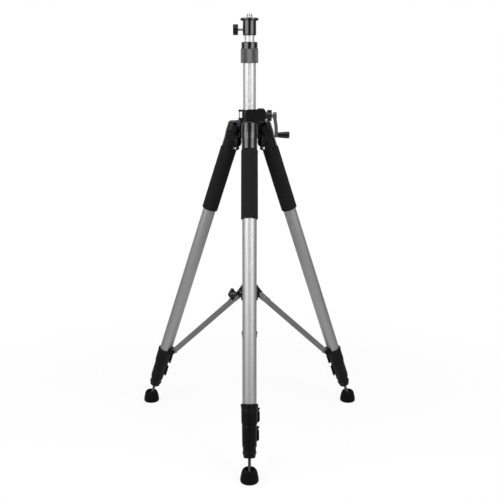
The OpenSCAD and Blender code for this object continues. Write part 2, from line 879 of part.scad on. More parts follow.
module hub_knob() {
    tip = guide_radius + clearance;
    wing_reach = hub_knob_d / 2 - hub_wing_radius;
    color("black") hub_knob_frame() along_x() {
        level(tip) cylinder(d = hub_screw_d, h = hub_knob_start + overrun - tip);
        level(hub_knob_start) cylinder(r = hub_knob_hub_radius, h = hub_knob_length);
        level(hub_knob_start + hub_knob_length / 3) {
            for (side = [-1, 1]) {
                translate([side * wing_reach, 0, 0]) rotate([quarter_turn, 0, 0])
                    cylinder(r = hub_wing_radius, h = hub_wing_thickness, center = true);
            }
            translate([-wing_reach, -hub_wing_thickness / 2, -hub_wing_radius])
                cube([2 * wing_reach, hub_wing_thickness, 2 * hub_wing_radius]);
        }
    }
}

module strut(turn) {
    color("gray") rotate([0, 0, turn])
        translate([bracket_r, 0, bracket_z]) rotate([0, strut_tilt, 0]) difference() {
        radial_plate(strut_width) {
            translate([-strut_length, -strut_depth / 2]) square([strut_length, strut_depth]);
            circle(d = strut_depth);
            translate([-strut_length, 0]) circle(d = strut_depth);
        }
        translate([strut_depth - strut_length, strut_flange - strut_width / 2, -strut_depth / 2 - overrun])
            cube([strut_length - 2 * strut_depth, strut_width - 2 * strut_flange, strut_channel + overrun]);
        for (run = [0, -strut_length]) {
            translate([run, 0, 0]) rotate([quarter_turn, 0, 0])
                cylinder(d = strut_pin_d + 2 * clearance, h = strut_width + 2 * overrun, center = true);
        }
    }
}

// The leg top's outer form, as if turned on the leg's axis
module leg_top_turned() {
    flare = leg_top_radius + leg_top_flare;
    rotate_extrude() polygon([
        [0, -leg_top_bottom],
        [leg_top_radius - chamfer, -leg_top_bottom],
        [leg_top_radius, chamfer - leg_top_bottom],
        [leg_top_radius, -hinge_to_tube],
        [flare, -leg_top_round],
        [flare, leg_top_end - leg_top_round],
        [flare - leg_top_round / 2, leg_top_end - leg_top_round / 3],
        [flare - leg_top_round, leg_top_end],
        [0, leg_top_end]
    ]);
}

// What the hinge leaves free to swing: a round end inside, the full form outside
module leg_top_swing() {
    reach = leg_top_radius + leg_top_flare + overrun;
    radial_plate(2 * reach) {
        circle(r = hinge_swing_radius);
        translate([0, -leg_top_bottom]) square([reach, leg_top_bottom + leg_top_end]);
        translate([-reach, -leg_top_bottom]) square([reach, leg_top_bottom - slot_depth / 2]);
    }
}

// The split ear that clamps the leg top round its tube
module leg_top_ear() {
    translate([-ear_inset + ear_radius, 0, -ear_run]) radial_plate(ear_thickness) {
        circle(r = ear_radius);
        translate([0, -ear_radius]) square([ear_inset - ear_radius, 2 * ear_radius]);
    }
}

module leg_top(turn) {
    slot = lug_thickness + 2 * clearance;
    slot_reach = lug_end_radius + 2 * clearance;
    reach = leg_top_radius + ear_inset;
    color("black") leg_frame(turn) difference() {
        union() {
            intersection() {
                leg_top_turned();
                leg_top_swing();
            }
            leg_top_ear();
        }
        level(-leg_top_bottom - overrun) cylinder(d = leg_tube_d, h = leg_top_skirt + overrun);
        translate([-reach, -slot / 2, -slot_depth])
            cube([reach + slot_reach, slot, slot_depth + leg_top_end + overrun]);
        rotate([quarter_turn, 0, 0]) cylinder(d = hinge_pin_d + 2 * clearance, h = 2 * reach, center = true);
        translate([-reach, -ear_split / 2, -leg_top_bottom - overrun])
            cube([reach, ear_split, leg_top_skirt + overrun]);
        translate([-ear_inset + ear_radius / 2, 0, -ear_run]) rotate([quarter_turn, 0, 0])
            cylinder(d = ear_bore_d, h = ear_thickness + overrun, center = true);
    }
}

module leg_tube(turn) {
    color("silver") leg_pipe(turn, leg_tube_d / 2, leg_tube_d / 2 - leg_wall, hinge_to_tube, leg_tube_end);
}

module leg_grip(turn) {
    color("black") leg_pipe(turn, grip_d / 2, leg_tube_d / 2, leg_top_bottom, leg_top_bottom + grip_length);
}

module mid_tube(turn) {
    color("silver") leg_pipe(turn, mid_tube_d / 2, mid_tube_d / 2 - leg_wall,
        mid_tube_end - mid_tube_length, mid_tube_end);
}

module low_tube(turn) {
    color("silver") leg_pipe(turn, low_tube_d / 2, low_tube_d / 2 - leg_wall,
        low_tube_end - low_tube_length, low_tube_end);
}

// A lock collar along a leg: it sits on one tube's end and runs on the next
module lock_sleeve(outer, top, end) {
    level(-end) rotate_extrude() polygon([
        [0, 0],
        [outer - collar_taper - chamfer, 0],
        [outer - collar_taper, chamfer],
        [outer, end - top - collar_lip_height],
        [outer, end - top - chamfer],
        [outer - chamfer, end - top],
        [0, end - top]
    ]);
}

// The raised lip round the upper end of a leg's first collar
module collar_top_lip() {
    level(-collar_top - collar_lip_height) rotate_extrude() polygon([
        [0, 0],
        [collar_radius, 0],
        [collar_radius + collar_lip, collar_lip],
        [collar_radius + collar_lip, collar_lip_height - chamfer],
        [collar_radius + collar_lip - chamfer, collar_lip_height],
        [0, collar_lip_height]
    ]);
}

module lock_bores(seat, run, top, seat_end, end) {
    level(-seat_end) cylinder(d = seat, h = seat_end - top + overrun);
    level(-end - overrun) cylinder(d = run + 2 * slide_clearance, h = end - top + overrun);
}

// The ears that hold a lever's pin, drawn in the lever's frame
module lever_ears(outer) {
    for (side = [-1, 1]) {
        translate([0, side * (lever_neck_width + lever_ear_width + 2 * clearance) / 2, 0]) {
            lever_cross(lever_ear_radius, lever_ear_width);
            translate([-outer / 2, -lever_ear_width / 2, -lever_ear_radius])
                cube([outer / 2, lever_ear_width, 2 * lever_ear_radius]);
        }
    }
}

// The room that a lever's knuckle and pin take out of its collar
module lever_room() {
    lever_cross(lever_trunnion_radius + clearance, lever_width + 2 * lever_ear_width);
    lever_cross(lever_knuckle_radius + clearance, lever_neck_width + 2 * clearance);
}

module leg_collar(turn, side) {
    color("black") difference() {
        union() {
            leg_frame(turn) lock_sleeve(collar_radius, collar_top, collar_end);
            leg_frame(turn) collar_top_lip();
            leg_frame(turn) strut_bracket();
            lever_frame(turn, side, collar_top + lever_drop, collar_radius) lever_ears(collar_radius);
        }
        leg_frame(turn)
            lock_bores(leg_tube_d, mid_tube_d, bracket_run - bracket_end_radius, leg_tube_end, collar_end);
        lever_frame(turn, side, collar_top + lever_drop, collar_radius) lever_room();
    }
}

// The two cheeks and the pin that carry a strut's lower end
module strut_bracket() {
    gap = strut_width + 2 * clearance;
    for (side = [-1, 1]) {
        translate([0, side * (gap + bracket_cheek) / 2, 0]) radial_plate(bracket_cheek) {
            translate([-bracket_inset, -bracket_run]) circle(r = bracket_end_radius);
            polygon([
                [-bracket_inset, bracket_end_radius - bracket_run],
                [0, bracket_end_radius - bracket_run],
                [0, -collar_top - bracket_foot],
                [-collar_radius * bracket_foot_share, -collar_top - bracket_foot],
                [-bracket_inset - bracket_end_radius, -bracket_run]
            ]);
        }
    }
    translate([-bracket_inset, 0, -bracket_run]) rotate([quarter_turn, 0, 0])
        cylinder(d = strut_pin_d, h = gap + 2 * bracket_cheek + chamfer, center = true);
}

module mid_collar(turn, side) {
    color("black") difference() {
        union() {
            leg_frame(turn) lock_sleeve(mid_collar_radius, mid_collar_top, mid_collar_end);
            lever_frame(turn, side, mid_collar_top + mid_lever_drop, mid_collar_radius)
                lever_ears(mid_collar_radius);
        }
        leg_frame(turn) lock_bores(mid_tube_d, low_tube_d, mid_collar_top, mid_tube_end, mid_collar_end);
        lever_frame(turn, side, mid_collar_top + mid_lever_drop, mid_collar_radius) lever_room();
    }
}

// A lever that hugs a collar of the given outer radius, drawn in its own frame
module lever_form(outer) {
    shell = outer + lever_proud;
    intersection() {
        translate([-outer - lever_pin_offset, 0, -lever_length]) difference() {
            cylinder(r = shell, h = lever_length);
            level(-overrun) cylinder(r = outer + lever_lift, h = lever_length + 2 * overrun);
        }
        cross_plate(shell) {
            translate([-lever_width / 2, -lever_length])
                round_rectangle(lever_width, lever_length - lever_shoulder, lever_shoulder);
            translate([-lever_neck_width / 2, -2 * lever_shoulder])
                square([lever_neck_width, 2 * lever_shoulder]);
        }
        translate([lever_proud - lever_pin_offset - lever_curve_radius, 0, -lever_length / 2])
            lever_cross(lever_curve_radius, 2 * lever_width);
    }
    lever_cross(lever_knuckle_radius, lever_neck_width);
    lever_cross(lever_trunnion_radius, lever_neck_width + 2 * lever_ear_width);
}

module upper_lever(turn, side) {
    color("black") lever_frame(turn, side, collar_top + lever_drop, collar_radius) lever_form(collar_radius);
}

module lower_lever(turn, side) {
    color("black") lever_frame(turn, side, mid_collar_top + mid_lever_drop, mid_collar_radius)
        lever_form(mid_collar_radius);
}

module leg_end(turn) {
    bead = leg_end_height * plug_bead_share;
    color("black") leg_frame(turn) level(-leg_end_bottom) difference() {
        rotate_extrude() polygon([
            [0, 0],
            [plug_tip_radius - chamfer, 0],
            [plug_tip_radius, chamfer],
            [plug_radius, bead - plug_bead],
            [plug_radius + plug_bead, bead],
            [plug_radius + plug_bead, bead + 2 * plug_bead],
            [plug_radius, bead + 3 * plug_bead],
            [plug_radius, leg_end_height],
            [0, leg_end_height]
        ]);
        level(leg_end_height - leg_end_seat) cylinder(d = low_tube_d, h = leg_end_height);
        level(-overrun) cylinder(d = foot_rod_d, h = leg_end_height);
    }
}

module foot_rod(turn) {
    color("gray") leg_frame(turn) {
        level(-ball_run) cylinder(d = foot_rod_d, h = ball_run - low_tube_end);
        level(-ball_run) sphere(d = foot_ball_d);
    }
}

// The bell of a foot, as points in radius and height from its rim to its top
function bell_pull(share) = foot_bell_share * share + (1 - foot_bell_share) * (1 - sqrt(1 - share * share));

function bell_point(share) = [
    foot_d / 2 - (foot_d / 2 - foot_top_radius) * bell_pull(share),
    foot_rim + (foot_height - foot_edge - foot_rim) * share
];

module foot(turn) {
    foot_bell = [for (index = [0 : foot_bell_steps]) bell_point(index / foot_bell_steps)];
    mouth = foot_height - foot_ball_height;
    neck = foot_rod_d / 2 / cos(foot_tilt_reach) + clearance;
    color("black") rotate([0, 0, turn]) translate([ball_radius_out, 0, 0]) difference() {
        rotate_extrude() polygon([
            [0, 0],
            [foot_d / 2 - foot_edge, 0],
            [foot_d / 2, foot_edge],
            each foot_bell,
            [foot_lip_radius, foot_height],
            [0, foot_height]
        ]);
        level(foot_ball_height) sphere(d = foot_ball_d + 2 * clearance);
        level(foot_ball_height) cylinder(r1 = neck, r2 = neck + mouth * tan(foot_tilt_reach), h = mouth);
        level(foot_height - overrun / 2) cylinder(r = neck + mouth * tan(foot_tilt_reach), h = overrun);
    }
}

spider_body();
guide_tube();
guide_end_cap();
body_pins();
column_tube();
column_rack();
column_bush();
twist_collar();
twist_collar_band();
extension_tube();
extension_plug();
head_cup();
instrument_stud();
head_knob();
head_knob_screw();
crank_shaft();
crank_arm();
crank_grip();
lift_lock_knob();
spreader_hub();
hub_knob();
strut(front_turn);  // front_strut
strut(right_turn);  // right_strut
strut(left_turn);  // left_strut
leg_top(front_turn);  // front_leg_top
leg_tube(front_turn);  // front_leg_tube
leg_grip(front_turn);  // front_leg_grip
leg_collar(front_turn, ccw_side);  // front_leg_collar
upper_lever(front_turn, ccw_side);  // front_upper_lever
mid_tube(front_turn);  // front_mid_tube
mid_collar(front_turn, ccw_side);  // front_mid_collar
lower_lever(front_turn, ccw_side);  // front_lower_lever
low_tube(front_turn);  // front_low_tube
leg_end(front_turn);  // front_leg_end
foot_rod(front_turn);  // front_foot_rod
foot(front_turn);  // front_foot
leg_top(right_turn);  // right_leg_top
leg_tube(right_turn);  // right_leg_tube
leg_grip(right_turn);  // right_leg_grip
leg_collar(right_turn, ccw_side);  // right_leg_collar
upper_lever(right_turn, ccw_side);  // right_upper_lever
mid_tube(right_turn);  // right_mid_tube
mid_collar(right_turn, ccw_side);  // right_mid_collar
lower_lever(right_turn, ccw_side);  // right_lower_lever
low_tube(right_turn);  // right_low_tube
leg_end(right_turn);  // right_leg_end
foot_rod(right_turn);  // right_foot_rod
foot(right_turn);  // right_foot
leg_top(left_turn);  // left_leg_top
leg_tube(left_turn);  // left_leg_tube
leg_grip(left_turn);  // left_leg_grip
leg_collar(left_turn, cw_side);  // left_leg_collar
upper_lever(left_turn, cw_side);  // left_upper_lever
mid_tube(left_turn);  // left_mid_tube
mid_collar(left_turn, cw_side);  // left_mid_collar
lower_lever(left_turn, cw_side);  // left_lower_lever
low_tube(left_turn);  // left_low_tube
leg_end(left_turn);  // left_leg_end
foot_rod(left_turn);  // left_foot_rod
foot(left_turn);  // left_foot
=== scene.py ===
"""An elevating tripod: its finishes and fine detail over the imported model, in a white studio."""

import json
import math

import bmesh
import bpy
from bpy.props import FloatProperty, FloatVectorProperty, IntProperty, PointerProperty
from mathutils import Matrix, Vector, noise


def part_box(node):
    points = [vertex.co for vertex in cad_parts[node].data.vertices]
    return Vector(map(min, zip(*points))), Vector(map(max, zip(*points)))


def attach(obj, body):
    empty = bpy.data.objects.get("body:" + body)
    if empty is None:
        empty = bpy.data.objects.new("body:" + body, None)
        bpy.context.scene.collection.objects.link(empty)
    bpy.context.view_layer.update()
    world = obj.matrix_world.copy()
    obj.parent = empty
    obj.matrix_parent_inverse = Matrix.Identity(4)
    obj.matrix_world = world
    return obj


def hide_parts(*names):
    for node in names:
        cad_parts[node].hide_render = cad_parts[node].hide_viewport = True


bl_info = {
    "name": "Elevating tripod",
    "version": (1, 0, 0),
    "blender": (4, 5, 0),
    "location": "View3D > Sidebar > Tripod",
    "description": "Dresses the packed tripod and sets it in a white studio",
    "category": "Object",
}

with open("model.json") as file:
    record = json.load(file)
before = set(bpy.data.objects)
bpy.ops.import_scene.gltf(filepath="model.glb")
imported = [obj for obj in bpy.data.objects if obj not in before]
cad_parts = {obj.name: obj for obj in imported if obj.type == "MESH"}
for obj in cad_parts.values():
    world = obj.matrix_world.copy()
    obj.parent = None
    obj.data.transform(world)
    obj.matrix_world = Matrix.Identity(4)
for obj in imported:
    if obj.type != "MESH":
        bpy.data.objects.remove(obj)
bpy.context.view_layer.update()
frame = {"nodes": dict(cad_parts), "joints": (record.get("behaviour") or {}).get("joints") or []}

MM = 0.001
FULL_TURN = 2 * math.pi
QUARTER_TURN = math.pi / 2
SMOOTH_ANGLE = math.radians(32)
MERGE_DISTANCE = 0.001 * MM

LEGS = ("front", "right", "left")
JOINTS = {joint["name"]: joint for joint in frame["joints"]}

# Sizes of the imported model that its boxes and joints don't give
STRUT_LENGTH = 293.9 * MM
HUB_PIVOT_RADIUS = 40 * MM
STUD_CREST = 7.94 * MM
ROD_CREST = 4.0 * MM
ROD_BALL = 8.0 * MM
ROD_REACH = 60 * MM
GRIP_OUTER = 21.6 * MM
GRIP_INNER = 17.55 * MM
GRIP_TOP = -46.2 * MM
GRIP_END = -226 * MM
CLAMP_EAR = (-23.25 * MM, 0, -38 * MM)
CLAMP_EAR_HALF = 6.5 * MM
BUSH_RADIUS = 7.0 * MM

FLOOR_RADIUS = 14

CAST_NODES = ("spider_body", "spreader_hub")
GLOSS_NODES = ("head_cup", "twist_collar", "head_knob", "lift_lock_knob", "crank_grip")
MOULDED_NODES = ("guide_end_cap", "column_bush", "extension_plug")
STEEL_NODES = ("head_knob_screw", "crank_shaft")
COLUMN_TUBES = ("guide_tube", "column_tube", "extension_tube")
LEG_CASTINGS = ("leg_top",)
LEG_MOULDINGS = ("leg_collar", "upper_lever", "mid_collar", "lower_lever", "leg_end")
LEG_TUBES = ("leg_tube", "mid_tube", "low_tube")


class TripodFinishes(bpy.types.PropertyGroup):
    """Colours of the tripod's finishes."""
    cast_colour: FloatVectorProperty(
        name="Cast black", description="Colour of the painted castings",
        subtype="COLOR", min=0, max=1, default=(0.0024, 0.0024, 0.0026))
    # Painted highlight: the crank's arm is a lighter grey copy of the cast black paint, standing in for its
    # satin highlight.
    arm_painted_highlight_colour: FloatVectorProperty(
        name="Crank painted highlight grey", description="Colour of the crank's arm",
        subtype="COLOR", min=0, max=1, default=(0.050, 0.050, 0.052))
    moulded_colour: FloatVectorProperty(
        name="Moulded black", description="Colour of the moulded plastic",
        subtype="COLOR", min=0, max=1, default=(0.0018, 0.0018, 0.0020))
    satin_colour: FloatVectorProperty(
        name="Satin aluminium", description="Colour of the anodised leg tubes",
        subtype="COLOR", min=0, max=1, default=(0.52, 0.52, 0.525))
    bright_colour: FloatVectorProperty(
        name="Bright aluminium", description="Colour of the column and the extension tube",
        subtype="COLOR", min=0, max=1, default=(0.62, 0.62, 0.625))
    strut_colour: FloatVectorProperty(
        name="Strut grey", description="Colour of the struts",
        subtype="COLOR", min=0, max=1, default=(0.34, 0.34, 0.345))
    steel_colour: FloatVectorProperty(
        name="Plated steel", description="Colour of the stud, screws, shaft and bright pins",
        subtype="COLOR", min=0, max=1, default=(0.60, 0.59, 0.575))
    dark_steel_colour: FloatVectorProperty(
        name="Dark steel", description="Colour of the foot rods",
        subtype="COLOR", min=0, max=1, default=(0.20, 0.198, 0.195))
    foam_colour: FloatVectorProperty(
        name="Foam black", description="Colour of the foam grips",
        subtype="COLOR", min=0, max=1, default=(0.0072, 0.0072, 0.0075))
    rubber_colour: FloatVectorProperty(
        name="Rubber black", description="Colour of the rubber feet",
        subtype="COLOR", min=0, max=1, default=(0.0018, 0.0018, 0.0023))
    band_colour: FloatVectorProperty(
        name="Band grey", description="Colour of the twist collar's rubber band",
        subtype="COLOR", min=0, max=1, default=(0.060, 0.060, 0.062))
    nylon_colour: FloatVectorProperty(
        name="Nylon", description="Colour of the rack",
        subtype="COLOR", min=0, max=1, default=(0.62, 0.62, 0.61))


class TripodDetails(bpy.types.PropertyGroup):
    """Sizes of the fine detail."""
    stud_pitch: FloatProperty(
        name="Stud pitch", description="Pitch of the instrument stud's thread",
        unit="LENGTH", default=2.31 * MM)
    rod_pitch: FloatProperty(
        name="Rod pitch", description="Pitch of the foot rods' thread",
        unit="LENGTH", default=1.25 * MM)
    thread_steps: IntProperty(
        name="Thread steps", description="Facets in one turn of a thread", default=32, min=8)
    turned_steps: IntProperty(
        name="Turned steps", description="Facets round a turned piece", default=96, min=16)
    grip_round: FloatProperty(
        name="Grip rounding", description="Rounding of the foam grips' ends",
        unit="LENGTH", default=2.6 * MM)
    grip_sway: FloatProperty(
        name="Grip unevenness", description="How far the foam's surface wanders",
        unit="LENGTH", default=0.22 * MM)
    # Painted light and shade: stripes round the twist collar's band stand in for the shading of its flutes.
    band_shade_stripes: IntProperty(
        name="Band shade stripes", description="Count of painted light and shade stripes round the twist collar's band", default=6, min=2)
    screw_head: FloatProperty(
        name="Screw head", description="Diameter of the small screws' heads",
        unit="LENGTH", default=5.6 * MM)


class TripodStudio(bpy.types.PropertyGroup):
    """The studio: camera, lamps and background."""
    camera_place: FloatVectorProperty(
        name="Camera", description="Place of the camera",
        subtype="TRANSLATION", unit="LENGTH", default=(1.3 * MM, -2.122, 0.922))
    camera_pitch: FloatProperty(
        name="Pitch", description="How far the camera looks down",
        subtype="ANGLE", default=math.radians(11.24))
    lens: FloatProperty(
        name="Lens", description="Focal length in millimetres on a 36 mm sensor", default=57.55)
    room_light: FloatProperty(
        name="Room light", description="Strength of the light from all round", default=0.40)
    front_shine: FloatProperty(
        name="Front shine", description="How white the room in front looks in the metal",
        min=0, max=1, default=0.09)
    back_shine: FloatProperty(
        name="Back shine", description="How white the room behind looks in the metal",
        min=0, max=1, default=0.6)
    floor_shine: FloatProperty(
        name="Floor shine", description="How white the floor looks in the metal",
        min=0, max=1, default=0.62)
    floor_white: FloatProperty(
        name="Floor white", description="How much of the white behind shows through the floor at the feet",
        min=0, max=1, default=0.88)
    key_light: FloatProperty(
        name="Key light", description="Power of the side lamps", unit="POWER", default=26)
    top_light: FloatProperty(
        name="Top light", description="Power of the lamp overhead", unit="POWER", default=14)


class Finish:
    """A material under construction: one shader, and grain on Object coordinates."""

    def __init__(self, name, colour, metallic, roughness):
        self.material = bpy.data.materials.new(name)
        self.material.use_nodes = True
        self.tree = self.material.node_tree
        self.shader = self.tree.nodes["Principled BSDF"]
        self.colour = tuple(colour)
        self.set("Base Color", (*colour, 1))
        self.set("Metallic", metallic)
        self.set("Roughness", roughness)
        self.material.diffuse_color = (*colour, 1)
        self.place = self.add("ShaderNodeTexCoord").outputs["Object"]

    def add(self, kind, **settings):
        """A new node with the given settings."""
        node = self.tree.nodes.new(kind)
        for key, value in settings.items():
            setattr(node, key, value)
        return node

    def set(self, socket, value):
        """Sets a value that is the same all over the surface."""
        self.shader.inputs[socket].default_value = value

    def join(self, source, target):
        """Links one socket to another."""
        self.tree.links.new(source, target)

    def turned_place(self, turn, scale):
        """Object coordinates turned by the angles in turn and stretched by scale."""
        node = self.add("ShaderNodeMapping", vector_type="TEXTURE")
        node.inputs["Rotation"].default_value = turn
        self.join(self.place, node.inputs["Vector"])
        stretch = self.add("ShaderNodeMapping", vector_type="POINT")
        stretch.inputs["Scale"].default_value = scale
        self.join(node.outputs["Vector"], stretch.inputs["Vector"])
        return stretch.outputs["Vector"]

    def grain(self, scale, detail=3.0, place=None):
        """A noise from 0 to 1 with the given count of cells per metre."""
        node = self.add("ShaderNodeTexNoise")
        node.inputs["Scale"].default_value = scale
        node.inputs["Detail"].default_value = detail
        self.join(place or self.place, node.inputs["Vector"])
        return node.outputs["Fac"]

    def pores(self, scale):
        """Distances to the middles of small cells."""
        node = self.add("ShaderNodeTexVoronoi")
        node.inputs["Scale"].default_value = scale
        self.join(self.place, node.inputs["Vector"])
        return node.outputs["Distance"]

    def span(self, source, low, high, start=0.0, end=1.0):
        """Goes from low to high as source goes from start to end."""
        node = self.add("ShaderNodeMapRange")
        for socket, value in zip(("From Min", "From Max", "To Min", "To Max"), (start, end, low, high)):
            node.inputs[socket].default_value = value
        self.join(source, node.inputs["Value"])
        return node.outputs["Result"]

    def times(self, first, second):
        """The product of two sockets."""
        node = self.add("ShaderNodeMath", operation="MULTIPLY")
        self.join(first, node.inputs[0])
        self.join(second, node.inputs[1])
        return node.outputs["Value"]

    def tint(self, factor, first, second):
        """A colour that goes from first to second with factor; either may be a colour or a socket."""
        node = self.add("ShaderNodeMix", data_type="RGBA")
        self.join(factor, node.inputs["Factor"])
        for socket, value in ((node.inputs[6], first), (node.inputs[7], second)):
            if hasattr(value, "node"):
                self.join(value, socket)
            else:
                socket.default_value = (*value, 1)
        return node.outputs[2]

    def shade(self, share):
        """The finish's own colour, darker or lighter by a share."""
        return tuple(min(1.0, part * share) for part in self.colour)

    def edges(self, width):
        """How much of an edge is near, from 0 to 1, and the normal with the edges eased."""
        ease = self.add("ShaderNodeBevel", samples=4)
        ease.inputs["Radius"].default_value = width
        flat = self.add("ShaderNodeNewGeometry")
        dot = self.add("ShaderNodeVectorMath", operation="DOT_PRODUCT")
        self.join(ease.outputs["Normal"], dot.inputs[0])
        self.join(flat.outputs["Normal"], dot.inputs[1])
        return self.span(dot.outputs["Value"], 0.0, 1.0, 0.985, 0.86), ease.outputs["Normal"]

    def bump(self, height, depth, normal=None):
        """Raises the surface by depth metres where height is 1."""
        node = self.add("ShaderNodeBump")
        node.inputs["Distance"].default_value = depth
        self.join(height, node.inputs["Height"])
        if normal:
            self.join(normal, node.inputs["Normal"])
        return node.outputs["Normal"]

    def finish(self, colour=None, roughness=None, normal=None):
        """Joins what varies over the surface to the shader, and gives the material."""
        for socket, source in (("Base Color", colour), ("Roughness", roughness), ("Normal", normal)):
            if source:
                self.join(source, self.shader.inputs[socket])
        return self.material


def cast_finish(name, colour, worn_share):
    """Paint on a die casting: a fine skin, and edges worn a little brighter."""
    made = Finish(name, colour, 0.0, 0.3)
    made.set("Specular IOR Level", 0.62)
    wear, eased = made.edges(0.9 * MM)
    worn = made.times(wear, made.span(made.grain(420, 4), 0.0, 1.0, 0.45, 0.75))
    colour = made.tint(made.grain(60, 4), made.shade(0.75), made.shade(1.35))
    colour = made.tint(worn, colour, made.shade(worn_share))
    roughness = made.span(made.grain(150, 5), 0.16, 0.26)
    return made.finish(colour, roughness, made.bump(made.grain(1500, 2), 0.010 * MM, eased))


def moulded_finish(name, colour, gloss, mirror):
    """Moulded black plastic with a faint orange peel."""
    made = Finish(name, colour, 0.0, gloss)
    made.set("Specular IOR Level", mirror)
    wear, eased = made.edges(0.7 * MM)
    worn = made.times(wear, made.span(made.grain(300, 4), 0.0, 1.0, 0.5, 0.8))
    tone = made.tint(made.grain(45, 3), made.shade(0.8), made.shade(1.25))
    tone = made.tint(worn, tone, made.shade(3.5))
    roughness = made.span(made.grain(110, 5), gloss - 0.05, gloss + 0.07)
    return made.finish(tone, roughness, made.bump(made.grain(520, 2), 0.02 * MM, eased))


def tube_finish(name, colour, turn, gloss):
    """Anodised tube: drawn lines along it, and cloudy satin."""
    made = Finish(name, colour, 1.0, gloss)
    lines = made.grain(1.0, 3, made.turned_place(turn, (2600, 2600, 14)))
    cloud = made.grain(26, 4)
    colour = made.tint(lines, made.shade(0.94), made.shade(1.04))
    colour = made.tint(cloud, colour, made.shade(0.97))
    low, high = gloss - 0.05, gloss + 0.06
    return made.finish(colour, made.span(lines, low, high), made.bump(lines, 0.004 * MM))


def strut_finish(finishes, name, turn):
    """Grey anodised channel, duller than the tubes, with drawn lines along it."""
    made = Finish(name, finishes.strut_colour, 1.0, 0.48)
    lines = made.grain(1.0, 3, made.turned_place(turn, (2200, 2200, 18)))
    wear, eased = made.edges(0.5 * MM)
    colour = made.tint(lines, made.shade(0.88), made.shade(1.1))
    colour = made.tint(wear, colour, made.shade(1.5))
    roughness = made.span(made.grain(70, 4), 0.42, 0.54)
    return made.finish(colour, roughness, made.bump(lines, 0.006 * MM, eased))


def steel_finish(name, colour, gloss):
    """Plated steel with faint turning marks and dulled patches."""
    made = Finish(name, colour, 1.0, gloss)
    wear, eased = made.edges(0.25 * MM)
    tone = made.tint(made.grain(240, 5), made.shade(0.72), made.shade(1.08))
    tone = made.tint(wear, tone, made.shade(1.25))
    roughness = made.span(made.grain(190, 5), gloss - 0.07, gloss + 0.12)
    return made.finish(tone, roughness, made.bump(made.grain(2400, 2), 0.008 * MM, eased))


def pin_finish(finishes, level):
    """Steel pins that are darkened below a level and bright above it."""
    made = Finish("pin_steel", finishes.steel_colour, 1.0, 0.3)
    fade = 1 * MM
    split = made.add("ShaderNodeSeparateXYZ")
    made.join(made.place, split.inputs["Vector"])
    above = made.span(split.outputs["Z"], 0.0, 1.0, level - fade, level + fade)
    dark = made.tint(made.grain(240, 4), made.shade(0.012), made.shade(0.03))
    bright = made.tint(made.grain(240, 4), made.shade(0.75), made.shade(1.05))
    return made.finish(made.tint(above, dark, bright), made.span(made.grain(190, 5), 0.25, 0.42))


def foam_finish(finishes):
    """Closed-cell foam: matte, with small open cells in the skin."""
    made = Finish("foam_black", finishes.foam_colour, 0.0, 0.92)
    made.set("Specular IOR Level", 0.12)
    made.set("Sheen Weight", 0.03)
    made.set("Sheen Roughness", 0.6)
    cells = made.pores(950)
    cloud = made.grain(38, 4)
    colour = made.tint(cells, made.shade(0.55), made.shade(1.5))
    colour = made.tint(cloud, colour, made.shade(1.15))
    return made.finish(colour, made.span(cloud, 0.86, 0.97), made.bump(cells, 0.25 * MM))


def rubber_finish(finishes):
    """Soft rubber with a dry bloom on it."""
    made = Finish("rubber_black", finishes.rubber_colour, 0.0, 0.62)
    made.set("Specular IOR Level", 0.12)
    wear, eased = made.edges(0.6 * MM)
    bloom = made.span(made.grain(55, 6), 0.0, 1.0, 0.42, 0.72)
    tone = made.tint(bloom, made.shade(0.85), made.shade(1.5))
    tone = made.tint(wear, tone, made.shade(2.0))
    roughness = made.span(bloom, 0.52, 0.74)
    return made.finish(tone, roughness, made.bump(made.grain(1100, 3), 0.05 * MM, eased))


def band_finish(finishes, ridges):
    """Grey rubber of the twist collar's band, with stripes round it painted lighter and darker for the light
    and shade of its flutes.
    """
    made = Finish("band_rubber", finishes.band_colour, 0.0, 0.6)
    made.set("Specular IOR Level", 0.25)
    wear, eased = made.edges(0.6 * MM)
    round_way = made.add("ShaderNodeTexGradient", gradient_type="RADIAL")
    made.join(made.turned_place((0, 0, QUARTER_TURN), (1, 1, 1)), round_way.inputs["Vector"])
    wave = made.add("ShaderNodeMath", operation="MULTIPLY")
    wave.inputs[1].default_value = ridges * FULL_TURN
    made.join(round_way.outputs["Fac"], wave.inputs[0])
    crest = made.add("ShaderNodeMath", operation="COSINE")
    made.join(wave.outputs["Value"], crest.inputs[0])
    # Painted light and shade: lighter and darker stripes round the band stand in for the shading of its
    # flutes.
    painted_flute_light = made.span(crest.outputs["Value"], 0.0, 1.0, -1.0, 1.0)
    bloom = made.span(made.grain(55, 6), 0.0, 0.4, 0.42, 0.72)
    tone = made.tint(painted_flute_light, made.shade(0.55), made.shade(2.2))
    tone = made.tint(bloom, tone, made.shade(1.6))
    tone = made.tint(wear, tone, made.shade(2.4))
    roughness = made.span(made.grain(70, 5), 0.5, 0.7)
    return made.finish(tone, roughness, made.bump(made.grain(1100, 3), 0.05 * MM, eased))


def nylon_finish(finishes):
    """Moulded nylon of the rack."""
    made = Finish("rack_nylon", finishes.nylon_colour, 0.0, 0.5)
    colour = made.tint(made.grain(90, 4), made.shade(0.85), made.shade(1.15))
    roughness = made.span(made.grain(160, 4), 0.42, 0.58)
    return made.finish(colour, roughness, made.bump(made.grain(700, 2), 0.03 * MM))


def leg_nodes(parts, legs=LEGS):
    """Names of the given parts' nodes on the legs."""
    return [leg + "_" + part for leg in legs for part in parts]


def in_metres(points):
    """Pairs in millimetres as pairs in metres."""
    return [(first * MM, second * MM) for first, second in points]


def leg_turn(leg):
    """Turn of a leg round the column and its splay, from its joints."""
    hinge = JOINTS[leg + "_leg_fold"]["pos_m"]
    down = JOINTS[leg + "_mid_slide"]["axis"]
    return math.atan2(hinge[1], hinge[0]), math.atan2(math.hypot(down[0], down[1]), -down[2])


